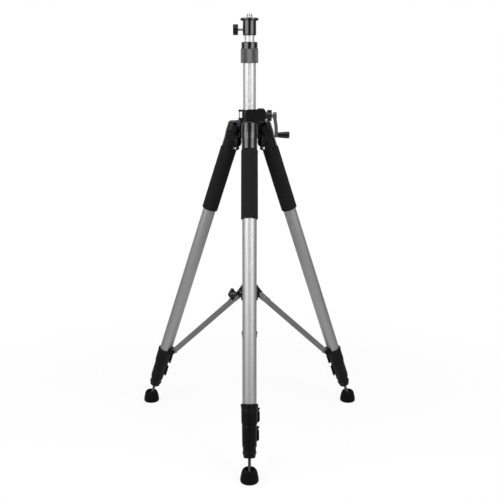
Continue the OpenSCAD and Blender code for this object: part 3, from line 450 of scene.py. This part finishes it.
def leg_frame(leg):
    """A leg's own frame: hinge pin at the origin, +X outwards, -Z down the leg."""
    turn, splay = leg_turn(leg)
    place = Matrix.Translation(JOINTS[leg + "_leg_fold"]["pos_m"])
    return place @ Matrix.Rotation(turn, 4, "Z") @ Matrix.Rotation(-splay, 4, "Y")


def paint(nodes, material):
    """Gives CAD nodes a finish."""
    for name in nodes:
        node = frame["nodes"][name]
        if not node.material_slots:
            node.data.materials.append(material)
        for slot in node.material_slots:
            slot.material = material


def settle(name, bm, body, material, stands_for=()):
    """Makes a piece of the finished mesh and sets it on its body."""
    mesh = bpy.data.meshes.new(name)
    bm.normal_update()
    bm.to_mesh(mesh)
    bm.free()
    for polygon in mesh.polygons:
        polygon.use_smooth = True
    mesh.set_sharp_from_angle(angle=SMOOTH_ANGLE)
    mesh.materials.append(material)
    piece = bpy.data.objects.new(name, mesh)
    bpy.context.scene.collection.objects.link(piece)
    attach(piece, body)
    if stands_for:
        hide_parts(*stands_for)
    return piece


def turned(bm, profile, place, steps, closed=False):
    """Spins a profile of radius and height pairs round Z, and sets the form at place."""
    verts = [bm.verts.new((radius, 0, height)) for radius, height in profile]
    pairs = list(zip(verts, verts[1:]))
    if closed:
        pairs.append((verts[-1], verts[0]))
    edges = [bm.edges.new(pair) for pair in pairs]
    before = set(bm.verts) - set(verts)
    bmesh.ops.spin(bm, geom=verts + edges, cent=(0, 0, 0), axis=(0, 0, 1), dvec=(0, 0, 0),
                   angle=FULL_TURN, steps=steps, use_merge=True, use_duplicate=False)
    made = [vert for vert in bm.verts if vert not in before]
    bmesh.ops.remove_doubles(bm, verts=made, dist=MERGE_DISTANCE)
    made = [vert for vert in bm.verts if vert not in before]
    faces = list({face for vert in made for face in vert.link_faces})
    bmesh.ops.recalc_face_normals(bm, faces=faces)
    bmesh.ops.transform(bm, matrix=place, verts=made)
    return faces


def ease(bm, faces, width, segments=3):
    """Rounds the sharp rims between faces."""
    chosen = set(faces)
    rims = [edge for edge in {e for f in faces for e in f.edges}
            if len(edge.link_faces) == 2 and all(f in chosen for f in edge.link_faces)
            and edge.calc_face_angle(0.0) > SMOOTH_ANGLE]
    bmesh.ops.bevel(bm, geom=rims, offset=width, offset_type="OFFSET", segments=segments,
                    profile=0.5, affect="EDGES", material=-1, clamp_overlap=True)


def wound_thread(bm, core, crest, pitch, low, high, place, steps):
    """Winds a thread ridge round a rod between two heights."""
    turns = (high - low) / pitch - 1
    flank = pitch * 0.44
    flat = flank * 0.15
    base = low + pitch / 2
    sunk = core - (crest - core) * 0.2
    before = set(bm.verts)
    corners = [bm.verts.new(point) for point in
               ((sunk, 0, base - flank), (crest, 0, base - flat),
                (crest, 0, base + flat), (sunk, 0, base + flank))]
    start = bm.faces.new(corners)
    count = round(turns * steps)
    bmesh.ops.spin(bm, geom=[start, *start.edges, *corners], cent=(0, 0, 0), axis=(0, 0, 1),
                   dvec=(0, 0, turns * pitch / count), angle=turns * FULL_TURN, steps=count,
                   use_merge=False, use_duplicate=False)
    made = [vert for vert in bm.verts if vert not in before]
    faces = list({face for vert in made for face in vert.link_faces})
    bmesh.ops.recalc_face_normals(bm, faces=faces)
    bmesh.ops.transform(bm, matrix=place, verts=made)


def plate(bm, outline, near, far, rim=1.1):
    """A plate with an outline of X and Z, from near to far along Y, its rims eased, in millimetres."""
    corners = [bm.verts.new((x * MM, near * MM, z * MM)) for x, z in outline]
    face = bm.faces.new(corners)
    pulled = bmesh.ops.extrude_face_region(bm, geom=[face], use_keep_orig=True)["geom"]
    moved = [item for item in pulled if isinstance(item, bmesh.types.BMVert)]
    bmesh.ops.translate(bm, vec=(0, (far - near) * MM, 0), verts=moved)
    faces = list({link for vert in corners + moved for link in vert.link_faces})
    bmesh.ops.recalc_face_normals(bm, faces=faces)
    ease(bm, faces, rim * MM)


def hex_prism(bm, across, low, high, place):
    """A six-sided prism with eased edges, such as a nut."""
    corner = across / math.sqrt(3)
    made = bmesh.ops.create_cone(bm, cap_ends=True, segments=6, radius1=corner, radius2=corner,
                                 depth=high - low)["verts"]
    faces = list({face for vert in made for face in vert.link_faces})
    shift = place @ Matrix.Translation((0, 0, (low + high) / 2))
    bmesh.ops.transform(bm, matrix=shift, verts=made)
    ease(bm, faces, 0.35 * MM, 2)


class TripodPiece(bpy.types.Operator):
    """Common ground of the operators that make or finish pieces."""
    bl_options = {"REGISTER", "UNDO"}

    def execute(self, context):
        self.make(context.scene.tripod_finishes, context.scene.tripod_details)
        return {"FINISHED"}


class TRIPOD_OT_castings(TripodPiece):
    """Finish the painted castings"""
    bl_idname = "tripod.castings"
    bl_label = "Castings"

    def make(self, finishes, details):
        black = cast_finish("cast_black", finishes.cast_colour, 6.0)
        paint(CAST_NODES, black)
        # Painted highlight: the crank's arm gets a lighter grey copy of the cast black paint, standing in for
        # its satin highlight.
        paint(["crank_arm"], cast_finish("crank_grey", finishes.arm_painted_highlight_colour, 1.6))
        paint(leg_nodes(LEG_CASTINGS), black)


class TRIPOD_OT_mouldings(TripodPiece):
    """Finish the moulded plastic pieces"""
    bl_idname = "tripod.mouldings"
    bl_label = "Mouldings"

    def make(self, finishes, details):
        paint(GLOSS_NODES, moulded_finish("gloss_black", finishes.moulded_colour, 0.22, 0.6))
        black = moulded_finish("moulded_black", finishes.moulded_colour, 0.38, 0.2)
        paint(MOULDED_NODES, black)
        paint(leg_nodes(LEG_MOULDINGS), black)
        paint(["column_rack"], nylon_finish(finishes))
        paint(["twist_collar_band"], band_finish(finishes, details.band_shade_stripes))


class TRIPOD_OT_tubes(TripodPiece):
    """Finish the column's and the legs' tubes"""
    bl_idname = "tripod.tubes"
    bl_label = "Tubes"

    def make(self, finishes, details):
        paint(COLUMN_TUBES, tube_finish("bright_tube", finishes.bright_colour, (0, 0, 0), 0.55))
        for leg in LEGS:
            turn, splay = leg_turn(leg)
            satin = tube_finish(leg + "_satin_tube", finishes.satin_colour, (0, -splay, turn), 0.55)
            paint(leg_nodes(LEG_TUBES, [leg]), satin)


class TRIPOD_OT_struts(TripodPiece):
    """Finish the struts"""
    bl_idname = "tripod.struts"
    bl_label = "Struts"

    def make(self, finishes, details):
        for leg in LEGS:
            low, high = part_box(leg + "_strut")
            turn = leg_turn(leg)[0]
            extent = high - low
            lean = math.atan2(math.hypot(extent.x, extent.y), extent.z)
            paint([leg + "_strut"], strut_finish(finishes, leg + "_strut_grey", (0, -lean, turn)))


class TRIPOD_OT_strut_yokes(TripodPiece):
    """Make the yokes at the struts' upper ends, which straddle the hub's forks"""
    bl_idname = "tripod.strut_yokes"
    bl_label = "Strut yokes"

    def make(self, finishes, details):
        upper = ((20, 7), (-13, 7), (-16.6, 6), (-19.1, 3.5), (-20, 0))
        prong = upper + tuple((run, -rise) for run, rise in reversed(upper[:-1]))
        bridge = ((12, 6.6), (20, 6.6), (20, -6.6), (12, -6.6))
        rivet = ((0, 13.0), (3.4, 13.0), (3.4, 14.0), (2.4, 14.6), (0, 14.6))
        prong_inner, prong_outer, prong_rim = 12, 13.3, 0.4
        bridge_half, bridge_rim = 13, 0.5
        for leg in LEGS:
            bm = bmesh.new()
            plate(bm, bridge, -bridge_half, bridge_half, bridge_rim)
            for side in (-1, 1):
                near, far = sorted((side * prong_inner, side * prong_outer))
                plate(bm, prong, near, far, prong_rim)
                out = Matrix.Rotation(-side * QUARTER_TURN, 4, "X")
                turned(bm, in_metres(rivet), out, details.turned_steps // 3)
            bmesh.ops.transform(bm, matrix=self.place(leg), verts=bm.verts)
            grey = bpy.data.materials[leg + "_strut_grey"]
            settle(leg + "_strut_yoke", bm, leg + "_strut", grey)

    def place(self, leg):
        """A strut's own frame: the hub's pivot at the origin, +X down along the strut."""
        foot = Vector(JOINTS[leg + "_strut_swing"]["pos_m"])
        run = foot.xy.length - HUB_PIVOT_RADIUS
        rise = math.sqrt(STRUT_LENGTH ** 2 - run ** 2)
        turn = leg_turn(leg)[0]
        pivot = Vector((HUB_PIVOT_RADIUS * math.cos(turn), HUB_PIVOT_RADIUS * math.sin(turn),
                        foot.z + rise))
        tilt = Matrix.Rotation(math.atan2(rise, run), 4, "Y")
        return Matrix.Translation(pivot) @ Matrix.Rotation(turn, 4, "Z") @ tilt


class TRIPOD_OT_steelwork(TripodPiece):
    """Finish the pins, the head's screw and the crank's shaft"""
    bl_idname = "tripod.steelwork"
    bl_label = "Steelwork"

    def make(self, finishes, details):
        paint(STEEL_NODES, steel_finish("plated_steel", finishes.steel_colour, 0.24))
        above_hinges = 12 * MM
        hinge_level = JOINTS["front_leg_fold"]["pos_m"][2]
        paint(["body_pins"], pin_finish(finishes, hinge_level + above_hinges))


class TRIPOD_OT_stud(TripodPiece):
    """Make the threaded instrument stud"""
    bl_idname = "tripod.stud"
    bl_label = "Instrument stud"

    def make(self, finishes, details):
        low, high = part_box("instrument_stud")
        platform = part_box("head_cup")[1].z
        core = STUD_CREST - 0.54 * details.stud_pitch
        base = (high.x - low.x) / 2
        seat = platform - 0.75 * MM
        base_rim, base_top = platform + 1.6 * MM, platform + 2.4 * MM
        socket = core - 3.2 * MM
        profile = ((0, low.z), (core, low.z), (core, seat), (base, seat), (base, base_rim),
                   (core + 0.6 * MM, base_top), (core, base_top), (core, high.z - 0.5 * MM),
                   (core - 0.9 * MM, high.z), (socket, high.z), (socket, high.z - 3 * MM),
                   (0, high.z - 3.6 * MM))
        bm = bmesh.new()
        faces = turned(bm, profile, Matrix(), details.turned_steps)
        ease(bm, faces, 0.25 * MM, 2)
        thread_low, thread_high = platform + 2.0 * MM, high.z - 0.1 * MM
        wound_thread(bm, core, STUD_CREST, details.stud_pitch, thread_low, thread_high,
                     Matrix(), details.thread_steps)
        settle("threaded_stud", bm, "head", bpy.data.materials["plated_steel"],
               ["instrument_stud"])


class TRIPOD_OT_grips(TripodPiece):
    """Make the foam grips of the legs"""
    bl_idname = "tripod.grips"
    bl_label = "Foam grips"

    def make(self, finishes, details):
        foam = foam_finish(finishes)
        rings = 90
        length = GRIP_END - GRIP_TOP
        wall = [(GRIP_OUTER, GRIP_TOP + length * index / rings) for index in range(rings + 1)]
        profile = [(GRIP_INNER, GRIP_TOP), *wall, (GRIP_INNER, GRIP_END)]
        skin = GRIP_INNER + details.grip_round / 2
        broad, fine = 55, 160
        for number, leg in enumerate(LEGS):
            bm = bmesh.new()
            faces = turned(bm, profile, Matrix(), details.turned_steps, closed=True)
            ease(bm, faces, details.grip_round, 5)
            for vert in bm.verts:
                if vert.co.xy.length > skin:
                    sway = noise.noise(vert.co * broad + Vector((number * 9, 0, 0)))
                    sway += 0.5 * noise.noise(vert.co * fine)
                    vert.co.xy *= 1 + sway * details.grip_sway / GRIP_OUTER
            bmesh.ops.transform(bm, matrix=leg_frame(leg), verts=bm.verts)
            grip = settle(leg + "_foam_grip", bm, leg + "_leg", foam, [leg + "_leg_grip"])


class TRIPOD_OT_foot_rods(TripodPiece):
    """Make the threaded foot rods with their balls"""
    bl_idname = "tripod.foot_rods"
    bl_label = "Foot rods"

    def make(self, finishes, details):
        steel = steel_finish("dark_steel", finishes.dark_steel_colour, 0.34)
        core = ROD_CREST - 0.55 * details.rod_pitch
        overlap = 1 * MM
        for leg in LEGS:
            place = leg_frame(leg)
            centre = Vector(JOINTS[leg + "_foot_tilt"]["pos_m"])
            run = (centre - place.translation).length
            start = -run + ROD_BALL * 0.9
            end = -run + ROD_REACH
            profile = ((0, start - overlap), (core, start - overlap), (core, end), (0, end))
            bm = bmesh.new()
            turned(bm, profile, place, details.turned_steps // 2)
            wound_thread(bm, core, ROD_CREST, details.rod_pitch, start, end - overlap, place,
                         details.thread_steps)
            bmesh.ops.create_uvsphere(bm, u_segments=40, v_segments=24, radius=ROD_BALL,
                                      matrix=place @ Matrix.Translation((0, 0, -run)))
            settle(leg + "_threaded_rod", bm, leg + "_low_section", steel,
                   [leg + "_foot_rod"])


class TRIPOD_OT_feet(TripodPiece):
    """Make the rubber feet"""
    bl_idname = "tripod.feet"
    bl_label = "Rubber feet"

    def make(self, finishes, details):
        rubber = rubber_finish(finishes)
        profile = in_metres([*self.sole(), *self.bell(), *self.mouth()])
        for leg in LEGS:
            low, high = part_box(leg + "_foot")
            place = Matrix.Translation(((low.x + high.x) / 2, (low.y + high.y) / 2, low.z))
            bm = bmesh.new()
            faces = turned(bm, profile, place, details.turned_steps)
            ease(bm, faces, 0.5 * MM, 3)
            settle(leg + "_rubber_foot", bm, leg + "_foot_pad", rubber, [leg + "_foot"])

    def sole(self):
        """The hollow sole and the rim round it, as radius and height in millimetres."""
        return ((0, 1.2), (16.5, 1.2), (17.5, 0), (20.2, 0), (22.2, 2.4), (22.5, 5.6), (21.9, 6.2),
                (21.9, 7.0))

    def bell(self):
        """The side, half cone and half dome, from the rim's groove up to the shoulder."""
        widest, drawn_in, groove, rise, steps = 22.5, 6.3, 7.6, 23.6, 14
        points = []
        for index in range(steps + 1):
            share = index / steps
            pull = 0.5 * share + 0.5 * (1 - math.sqrt(1 - share * share))
            points.append((widest - drawn_in * pull, groove + rise * share))
        return points

    def mouth(self):
        """The lip, the mouth and the socket of the rod's ball."""
        return ((15.4, 32.6), (14.2, 33.6), (13.0, 33.2), (6.9, 24.2), (8.3, 22.4), (9.1, 20), (8.3, 16.4),
                (5.9, 13.1), (0, 10.9))


class TRIPOD_OT_screws(TripodPiece):
    """Make the clamp screws of the leg tops"""
    bl_idname = "tripod.screws"
    bl_label = "Clamp screws"

    def make(self, finishes, details):
        steel = bpy.data.materials["plated_steel"]
        nut_across, nut_height = 6.4 * MM, 3 * MM
        for leg in LEGS:
            place = leg_frame(leg) @ Matrix.Translation(CLAMP_EAR)
            across = place @ Matrix.Rotation(-QUARTER_TURN, 4, "X")
            bm = bmesh.new()
            self.screw(bm, details, across, -CLAMP_EAR_HALF, CLAMP_EAR_HALF)
            hex_prism(bm, nut_across, -CLAMP_EAR_HALF - nut_height, -CLAMP_EAR_HALF, across)
            settle(leg + "_clamp_screw", bm, leg + "_leg", steel)

    def screw(self, bm, details, place, low, face):
        """A socket-headed screw along Z from low, with its head on the face."""
        head, shank, socket = details.screw_head / 2, details.screw_head * 0.3, details.screw_head * 0.26
        top = face + details.screw_head * 0.5
        profile = ((0, low), (shank, low), (shank, face), (head, face), (head, top), (socket, top),
                   (socket, top - 1.6 * MM), (0, top - 2 * MM))
        ease(bm, turned(bm, profile, place, details.turned_steps // 2), 0.3 * MM, 2)


class TRIPOD_OT_wing_knob(TripodPiece):
    """Make the wing knob that clamps the spreader hub"""
    bl_idname = "tripod.wing_knob"
    bl_label = "Wing knob"

    def make(self, finishes, details):
        joint = JOINTS["spreader_knob_turn"]
        turn = math.atan2(joint["axis"][1], joint["axis"][0])
        place = Matrix.Translation((0, 0, joint["pos_m"][2])) @ Matrix.Rotation(turn, 4, "Z")
        upper = ((44, 3.4), (47.4, 8), (49.6, 13.6), (51.2, 16.2), (53.4, 17), (56, 16.2), (57.6, 13.8),
                 (64.9, 2.6))
        lower = [(run, -rise) for run, rise in reversed(upper)]
        wing_half = 4.2
        barrel = ((0, 19.9), (4, 19.9), (4, 42.5), (6.4, 42.5), (7.8, 44), (7.8, 50), (6.6, 56), (5.2, 62),
                  (4.4, 64.4), (3.4, 65), (0, 65))
        bm = bmesh.new()
        plate(bm, [*upper, *lower], -wing_half, wing_half)
        along = Matrix.Rotation(QUARTER_TURN, 4, "Y")
        faces = turned(bm, in_metres(barrel), along, details.turned_steps // 2)
        ease(bm, faces, 0.4 * MM, 2)
        bmesh.ops.transform(bm, matrix=place, verts=bm.verts)
        black = bpy.data.materials["gloss_black"]
        settle("wing_knob", bm, "spreader_clamp", black, ["hub_knob"])


class TRIPOD_OT_fork_cheeks(TripodPiece):
    """Make the cheeks inside the leg tops' forks"""
    bl_idname = "tripod.fork_cheeks"
    bl_label = "Fork cheeks"

    def make(self, finishes, details):
        black = bpy.data.materials["cast_black"]
        outline = ((-16, -5), (-19.6, -8.6), (-22.2, -12), (-24.2, -15.6), (-25.9, -19.4), (-27, -23.6),
                   (-26.9, -28), (-25.6, -31.4), (-23, -33.6), (-19.5, -34.4), (-16, -34.4))
        inner, outer = 7.5, 11.2
        for leg in LEGS:
            bm = bmesh.new()
            plate(bm, outline, inner, outer)
            plate(bm, outline, -outer, -inner)
            bmesh.ops.transform(bm, matrix=leg_frame(leg), verts=bm.verts)
            settle(leg + "_fork_cheeks", bm, leg + "_leg", black)


class TRIPOD_OT_lug_webs(TripodPiece):
    """Make the webs between the sleeve and the two rear hinge lugs"""
    bl_idname = "tripod.lug_webs"
    bl_label = "Lug webs"

    def make(self, finishes, details):
        black = bpy.data.materials["cast_black"]
        outline = ((23, 8), (23, 31.4), (32, 31.2), (39, 30.4), (44.5, 28.6), (48.4, 25), (50.2, 19),
                   (50.6, 8))
        half = 6.6
        for leg in ("right", "left"):
            bm = bmesh.new()
            plate(bm, outline, -half, half)
            hinge = JOINTS[leg + "_leg_fold"]["pos_m"]
            place = Matrix.Translation((0, 0, hinge[2])) @ Matrix.Rotation(leg_turn(leg)[0], 4, "Z")
            bmesh.ops.transform(bm, matrix=place, verts=bm.verts)
            settle(leg + "_lug_web", bm, "spider", black)


class TRIPOD_OT_collar_ribs(TripodPiece):
    """Make the ridges and ribs of the lock collars"""
    bl_idname = "tripod.collar_ribs"
    bl_label = "Collar ribs"

    def make(self, finishes, details):
        black = bpy.data.materials["gloss_black"]
        ridge_radius, ridge_start, ridge_end = 20.5 * MM, -8, 46
        ridge_runs = (696.5, 701.0, 705.5)
        rib_turns = (-26, -44, -62)
        upper_rib = (20.35 * MM, -696 * MM, -727 * MM)
        lower_rib = (18.4 * MM, -736 * MM, -782 * MM)
        for leg in LEGS:
            side = -1 if leg == "left" else 1
            upper, lower = bmesh.new(), bmesh.new()
            for run in ridge_runs:
                self.ridge(upper, ridge_radius, -run * MM, side * ridge_start, side * ridge_end)
            for turn in rib_turns:
                self.rib(upper, *upper_rib, side * turn)
                self.rib(lower, *lower_rib, side * turn)
            for bm, name, body in ((upper, "_upper_ribs", "_leg"), (lower, "_lower_ribs", "_mid_section")):
                bmesh.ops.transform(bm, matrix=leg_frame(leg), verts=bm.verts)
                bmesh.ops.recalc_face_normals(bm, faces=bm.faces)
                settle(leg + name, bm, leg + body, black)

    def ridge(self, bm, radius, height, start, end):
        """A low ridge round part of a collar, between two turns from the leg's outer side."""
        sunk, crest = radius - 0.4 * MM, radius + 0.8 * MM
        section = ((sunk, -1.3 * MM), (crest, -0.7 * MM), (crest, 0.4 * MM), (sunk, 1.0 * MM))
        low = math.radians(min(start, end))
        corners = [bm.verts.new((far * math.cos(low), far * math.sin(low), height + rise))
                   for far, rise in section]
        face = bm.faces.new(corners)
        bmesh.ops.spin(bm, geom=[face, *face.edges, *corners], cent=(0, 0, 0), axis=(0, 0, 1), dvec=(0, 0, 0),
                       angle=math.radians(abs(end - start)), steps=14, use_merge=False, use_duplicate=False)

    def rib(self, bm, radius, top, bottom, turn):
        """A low upright rib on a collar."""
        proud, width, rim = 0.9 * MM, 1.5 * MM, 0.3 * MM
        made = bmesh.ops.create_cube(bm, size=1)["verts"]
        spin = Matrix.Rotation(math.radians(turn), 4, "Z")
        shift = Matrix.Translation((radius, 0, (top + bottom) / 2))
        size = Matrix.Diagonal((proud, width, top - bottom, 1))
        bmesh.ops.transform(bm, matrix=spin @ shift @ size, verts=made)
        ease(bm, list({face for vert in made for face in vert.link_faces}), rim, 2)


class TRIPOD_OT_bush_ring(TripodPiece):
    """Make the ring round the crank's bush"""
    bl_idname = "tripod.bush_ring"
    bl_label = "Bush ring"

    def make(self, finishes, details):
        pos = JOINTS["crank_turn"]["pos_m"]
        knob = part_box("lift_lock_knob")[0].x
        near, far = knob - 5.4 * MM, knob - 0.6 * MM
        profile = ((BUSH_RADIUS, near), (11.0 * MM, near), (10.4 * MM, far), (BUSH_RADIUS, far))
        place = Matrix.Translation((0, pos[1], pos[2])) @ Matrix.Rotation(QUARTER_TURN, 4, "Y")
        bm = bmesh.new()
        ease(bm, turned(bm, profile, place, details.turned_steps // 2, closed=True), 1.2 * MM, 4)
        settle("bush_ring", bm, "spider", bpy.data.materials["gloss_black"])


class TRIPOD_OT_studio(bpy.types.Operator):
    """Set up the floor, background, lamps and camera"""
    bl_idname = "tripod.studio"
    bl_label = "Studio"
    bl_options = {"REGISTER", "UNDO"}

    def execute(self, context):
        studio = context.scene.tripod_studio
        context.scene.view_settings.view_transform = "Standard"
        self.background(context, studio)
        self.floor(studio)
        self.lamps(studio)
        self.camera(context, studio)
        return {"FINISHED"}

    def background(self, context, studio):
        """A white background: metal sees it dimmer, and it lights the tripod at the room's strength."""
        world = bpy.data.worlds.new("studio")
        context.scene.world = world
        world.use_nodes = True
        tree = world.node_tree
        room = tree.nodes["Background"]
        rays = tree.nodes.new("ShaderNodeLightPath")
        way = tree.nodes.new("ShaderNodeTexCoord")
        split = tree.nodes.new("ShaderNodeSeparateXYZ")
        tree.links.new(way.outputs["Generated"], split.inputs["Vector"])
        shine = self.ramp(tree, split.outputs["Y"], (-0.1, 0.8), (studio.front_shine, studio.back_shine))
        mirrored = tree.nodes.new("ShaderNodeMix")
        mirrored.inputs["A"].default_value = studio.room_light
        tree.links.new(self.mirror_rays(tree, rays), mirrored.inputs["Factor"])
        tree.links.new(shine, mirrored.inputs["B"])
        seen = tree.nodes.new("ShaderNodeMix")
        seen.inputs["B"].default_value = 1.0
        tree.links.new(rays.outputs["Is Camera Ray"], seen.inputs["Factor"])
        tree.links.new(mirrored.outputs["Result"], seen.inputs["A"])
        tree.links.new(seen.outputs["Result"], room.inputs["Strength"])
        room.inputs["Color"].default_value = (1, 1, 1, 1)

    def mirror_rays(self, tree, rays):
        """1 for the rays by which shiny pieces see the room, and 0 for the others."""
        return self.math(tree, "MAXIMUM", rays.outputs["Is Glossy Ray"], rays.outputs["Is Transmission Ray"])

    def math(self, tree, operation, first, second):
        """The result of an operation on two sockets."""
        node = tree.nodes.new("ShaderNodeMath")
        node.operation = operation
        tree.links.new(first, node.inputs[0])
        tree.links.new(second, node.inputs[1])
        return node.outputs["Value"]

    def ramp(self, tree, source, reach, values):
        """Goes smoothly through the two values as source goes through reach."""
        node = tree.nodes.new("ShaderNodeMapRange")
        node.interpolation_type = "SMOOTHSTEP"
        for socket, value in zip(("From Min", "From Max", "To Min", "To Max"), (*reach, *values)):
            node.inputs[socket].default_value = value
        tree.links.new(source, node.inputs["Value"])
        return node.outputs["Result"]

    def mix(self, tree, factor, first, second):
        """A shader that goes from first to second with factor."""
        node = tree.nodes.new("ShaderNodeMixShader")
        tree.links.new(factor, node.inputs["Fac"])
        tree.links.new(first, node.inputs[1])
        tree.links.new(second, node.inputs[2])
        return node.outputs["Shader"]

    def floor(self, studio):
        """A pale floor that keeps the shadow: the white behind shows through it, and metal sees a glow."""
        bm = bmesh.new()
        bmesh.ops.create_circle(bm, cap_ends=True, segments=64, radius=FLOOR_RADIUS)
        mesh = bpy.data.meshes.new("floor")
        bm.to_mesh(mesh)
        bm.free()
        floor = bpy.data.objects.new("floor", mesh)
        bpy.context.scene.collection.objects.link(floor)
        material = bpy.data.materials.new("pale_floor")
        material.use_nodes = True
        tree = material.node_tree
        shader = tree.nodes["Principled BSDF"]
        shader.inputs["Base Color"].default_value = (0.9, 0.9, 0.9, 1)
        shader.inputs["Roughness"].default_value = 1.0
        shader.inputs["Specular IOR Level"].default_value = 0.0
        glow = tree.nodes.new("ShaderNodeEmission")
        rays = tree.nodes.new("ShaderNodeLightPath")
        place = tree.nodes.new("ShaderNodeTexCoord").outputs["Object"]
        reach = tree.nodes.new("ShaderNodeVectorMath")
        reach.operation = "LENGTH"
        tree.links.new(place, reach.inputs[0])
        white = self.ramp(tree, reach.outputs["Value"], (0.35, 1.3), (studio.floor_white, 1.0))
        far_shine = studio.floor_shine * 0.3
        shine = self.ramp(tree, reach.outputs["Value"], (0.3, 1.6), (studio.floor_shine, far_shine))
        tree.links.new(shine, glow.inputs["Strength"])
        mirrored = self.mirror_rays(tree, rays)
        seen = self.math(tree, "MULTIPLY", rays.outputs["Is Camera Ray"], white)
        clear = tree.nodes.new("ShaderNodeBsdfTransparent")
        surface = self.mix(tree, mirrored, shader.outputs["BSDF"], glow.outputs["Emission"])
        surface = self.mix(tree, seen, surface, clear.outputs["BSDF"])
        tree.links.new(surface, tree.nodes["Material Output"].inputs["Surface"])
        mesh.materials.append(material)

    def lamp(self, name, place, aim, power, width, height):
        """A soft rectangular lamp that the camera doesn't see."""
        data = bpy.data.lights.new(name, "AREA")
        data.shape = "RECTANGLE"
        data.size, data.size_y = width, height
        data.energy = power
        lamp = bpy.data.objects.new(name, data)
        lamp.location = place
        lamp.rotation_euler = (Vector(aim) - Vector(place)).to_track_quat("-Z", "Y").to_euler()
        lamp.visible_camera = False
        bpy.context.scene.collection.objects.link(lamp)

    def lamps(self, studio):
        """Two lamps in front at either side, above the head's level, and one overhead."""
        level = 1.42
        aim = (0, 0, level)
        self.lamp("left_lamp", (-1.236, -1.016, level), aim, studio.key_light, 1.66, 1.0)
        self.lamp("right_lamp", (1.150, -1.112, level), aim, studio.key_light * 0.86, 1.3, 1.0)
        self.lamp("top_lamp", (0, -0.4, 2.7), (0, 0, 0.5), studio.top_light, 1.8, 1.4)

    def camera(self, context, studio):
        """The camera where the photograph was taken from."""
        data = bpy.data.cameras.new("camera")
        data.sensor_width = 36
        data.lens = studio.lens
        data.clip_start, data.clip_end = 0.05, 100
        camera = bpy.data.objects.new("camera", data)
        camera.location = studio.camera_place
        camera.rotation_euler = (QUARTER_TURN - studio.camera_pitch, 0, 0)
        context.scene.collection.objects.link(camera)
        context.scene.camera = camera


class VIEW3D_PT_tripod(bpy.types.Panel):
    """Sizes, finishes and pieces of the tripod"""
    bl_idname = "VIEW3D_PT_tripod"
    bl_label = "Tripod"
    bl_space_type = "VIEW_3D"
    bl_region_type = "UI"
    bl_category = "Tripod"

    def draw(self, context):
        scene = context.scene
        for group in (scene.tripod_finishes, scene.tripod_details, scene.tripod_studio):
            box = self.layout.box()
            for name in group.bl_rna.properties.keys():
                if name not in ("rna_type", "name"):
                    box.prop(group, name)
        for operator in STEPS:
            self.layout.operator(operator.bl_idname)


# The order counts: later pieces use finishes that the first steps make
STEPS = (TRIPOD_OT_castings, TRIPOD_OT_mouldings, TRIPOD_OT_tubes, TRIPOD_OT_struts, TRIPOD_OT_strut_yokes,
         TRIPOD_OT_steelwork, TRIPOD_OT_stud, TRIPOD_OT_grips, TRIPOD_OT_foot_rods, TRIPOD_OT_feet,
         TRIPOD_OT_screws, TRIPOD_OT_wing_knob, TRIPOD_OT_fork_cheeks, TRIPOD_OT_lug_webs,
         TRIPOD_OT_collar_ribs, TRIPOD_OT_bush_ring, TRIPOD_OT_studio)
CLASSES = (TripodFinishes, TripodDetails, TripodStudio, *STEPS, VIEW3D_PT_tripod)


def register():
    """Adds the classes and the scene's settings."""
    for item in CLASSES:
        bpy.utils.register_class(item)
    bpy.types.Scene.tripod_finishes = PointerProperty(type=TripodFinishes)
    bpy.types.Scene.tripod_details = PointerProperty(type=TripodDetails)
    bpy.types.Scene.tripod_studio = PointerProperty(type=TripodStudio)


def unregister():
    """Takes the settings and the classes out again."""
    del bpy.types.Scene.tripod_studio
    del bpy.types.Scene.tripod_details
    del bpy.types.Scene.tripod_finishes
    for item in reversed(CLASSES):
        bpy.utils.unregister_class(item)


def main():
    """Dresses the tripod step by step."""
    register()
    for operator in STEPS:
        group, name = operator.bl_idname.split(".")
        getattr(getattr(bpy.ops, group), name)()


if __name__ == "__main__":
    main()
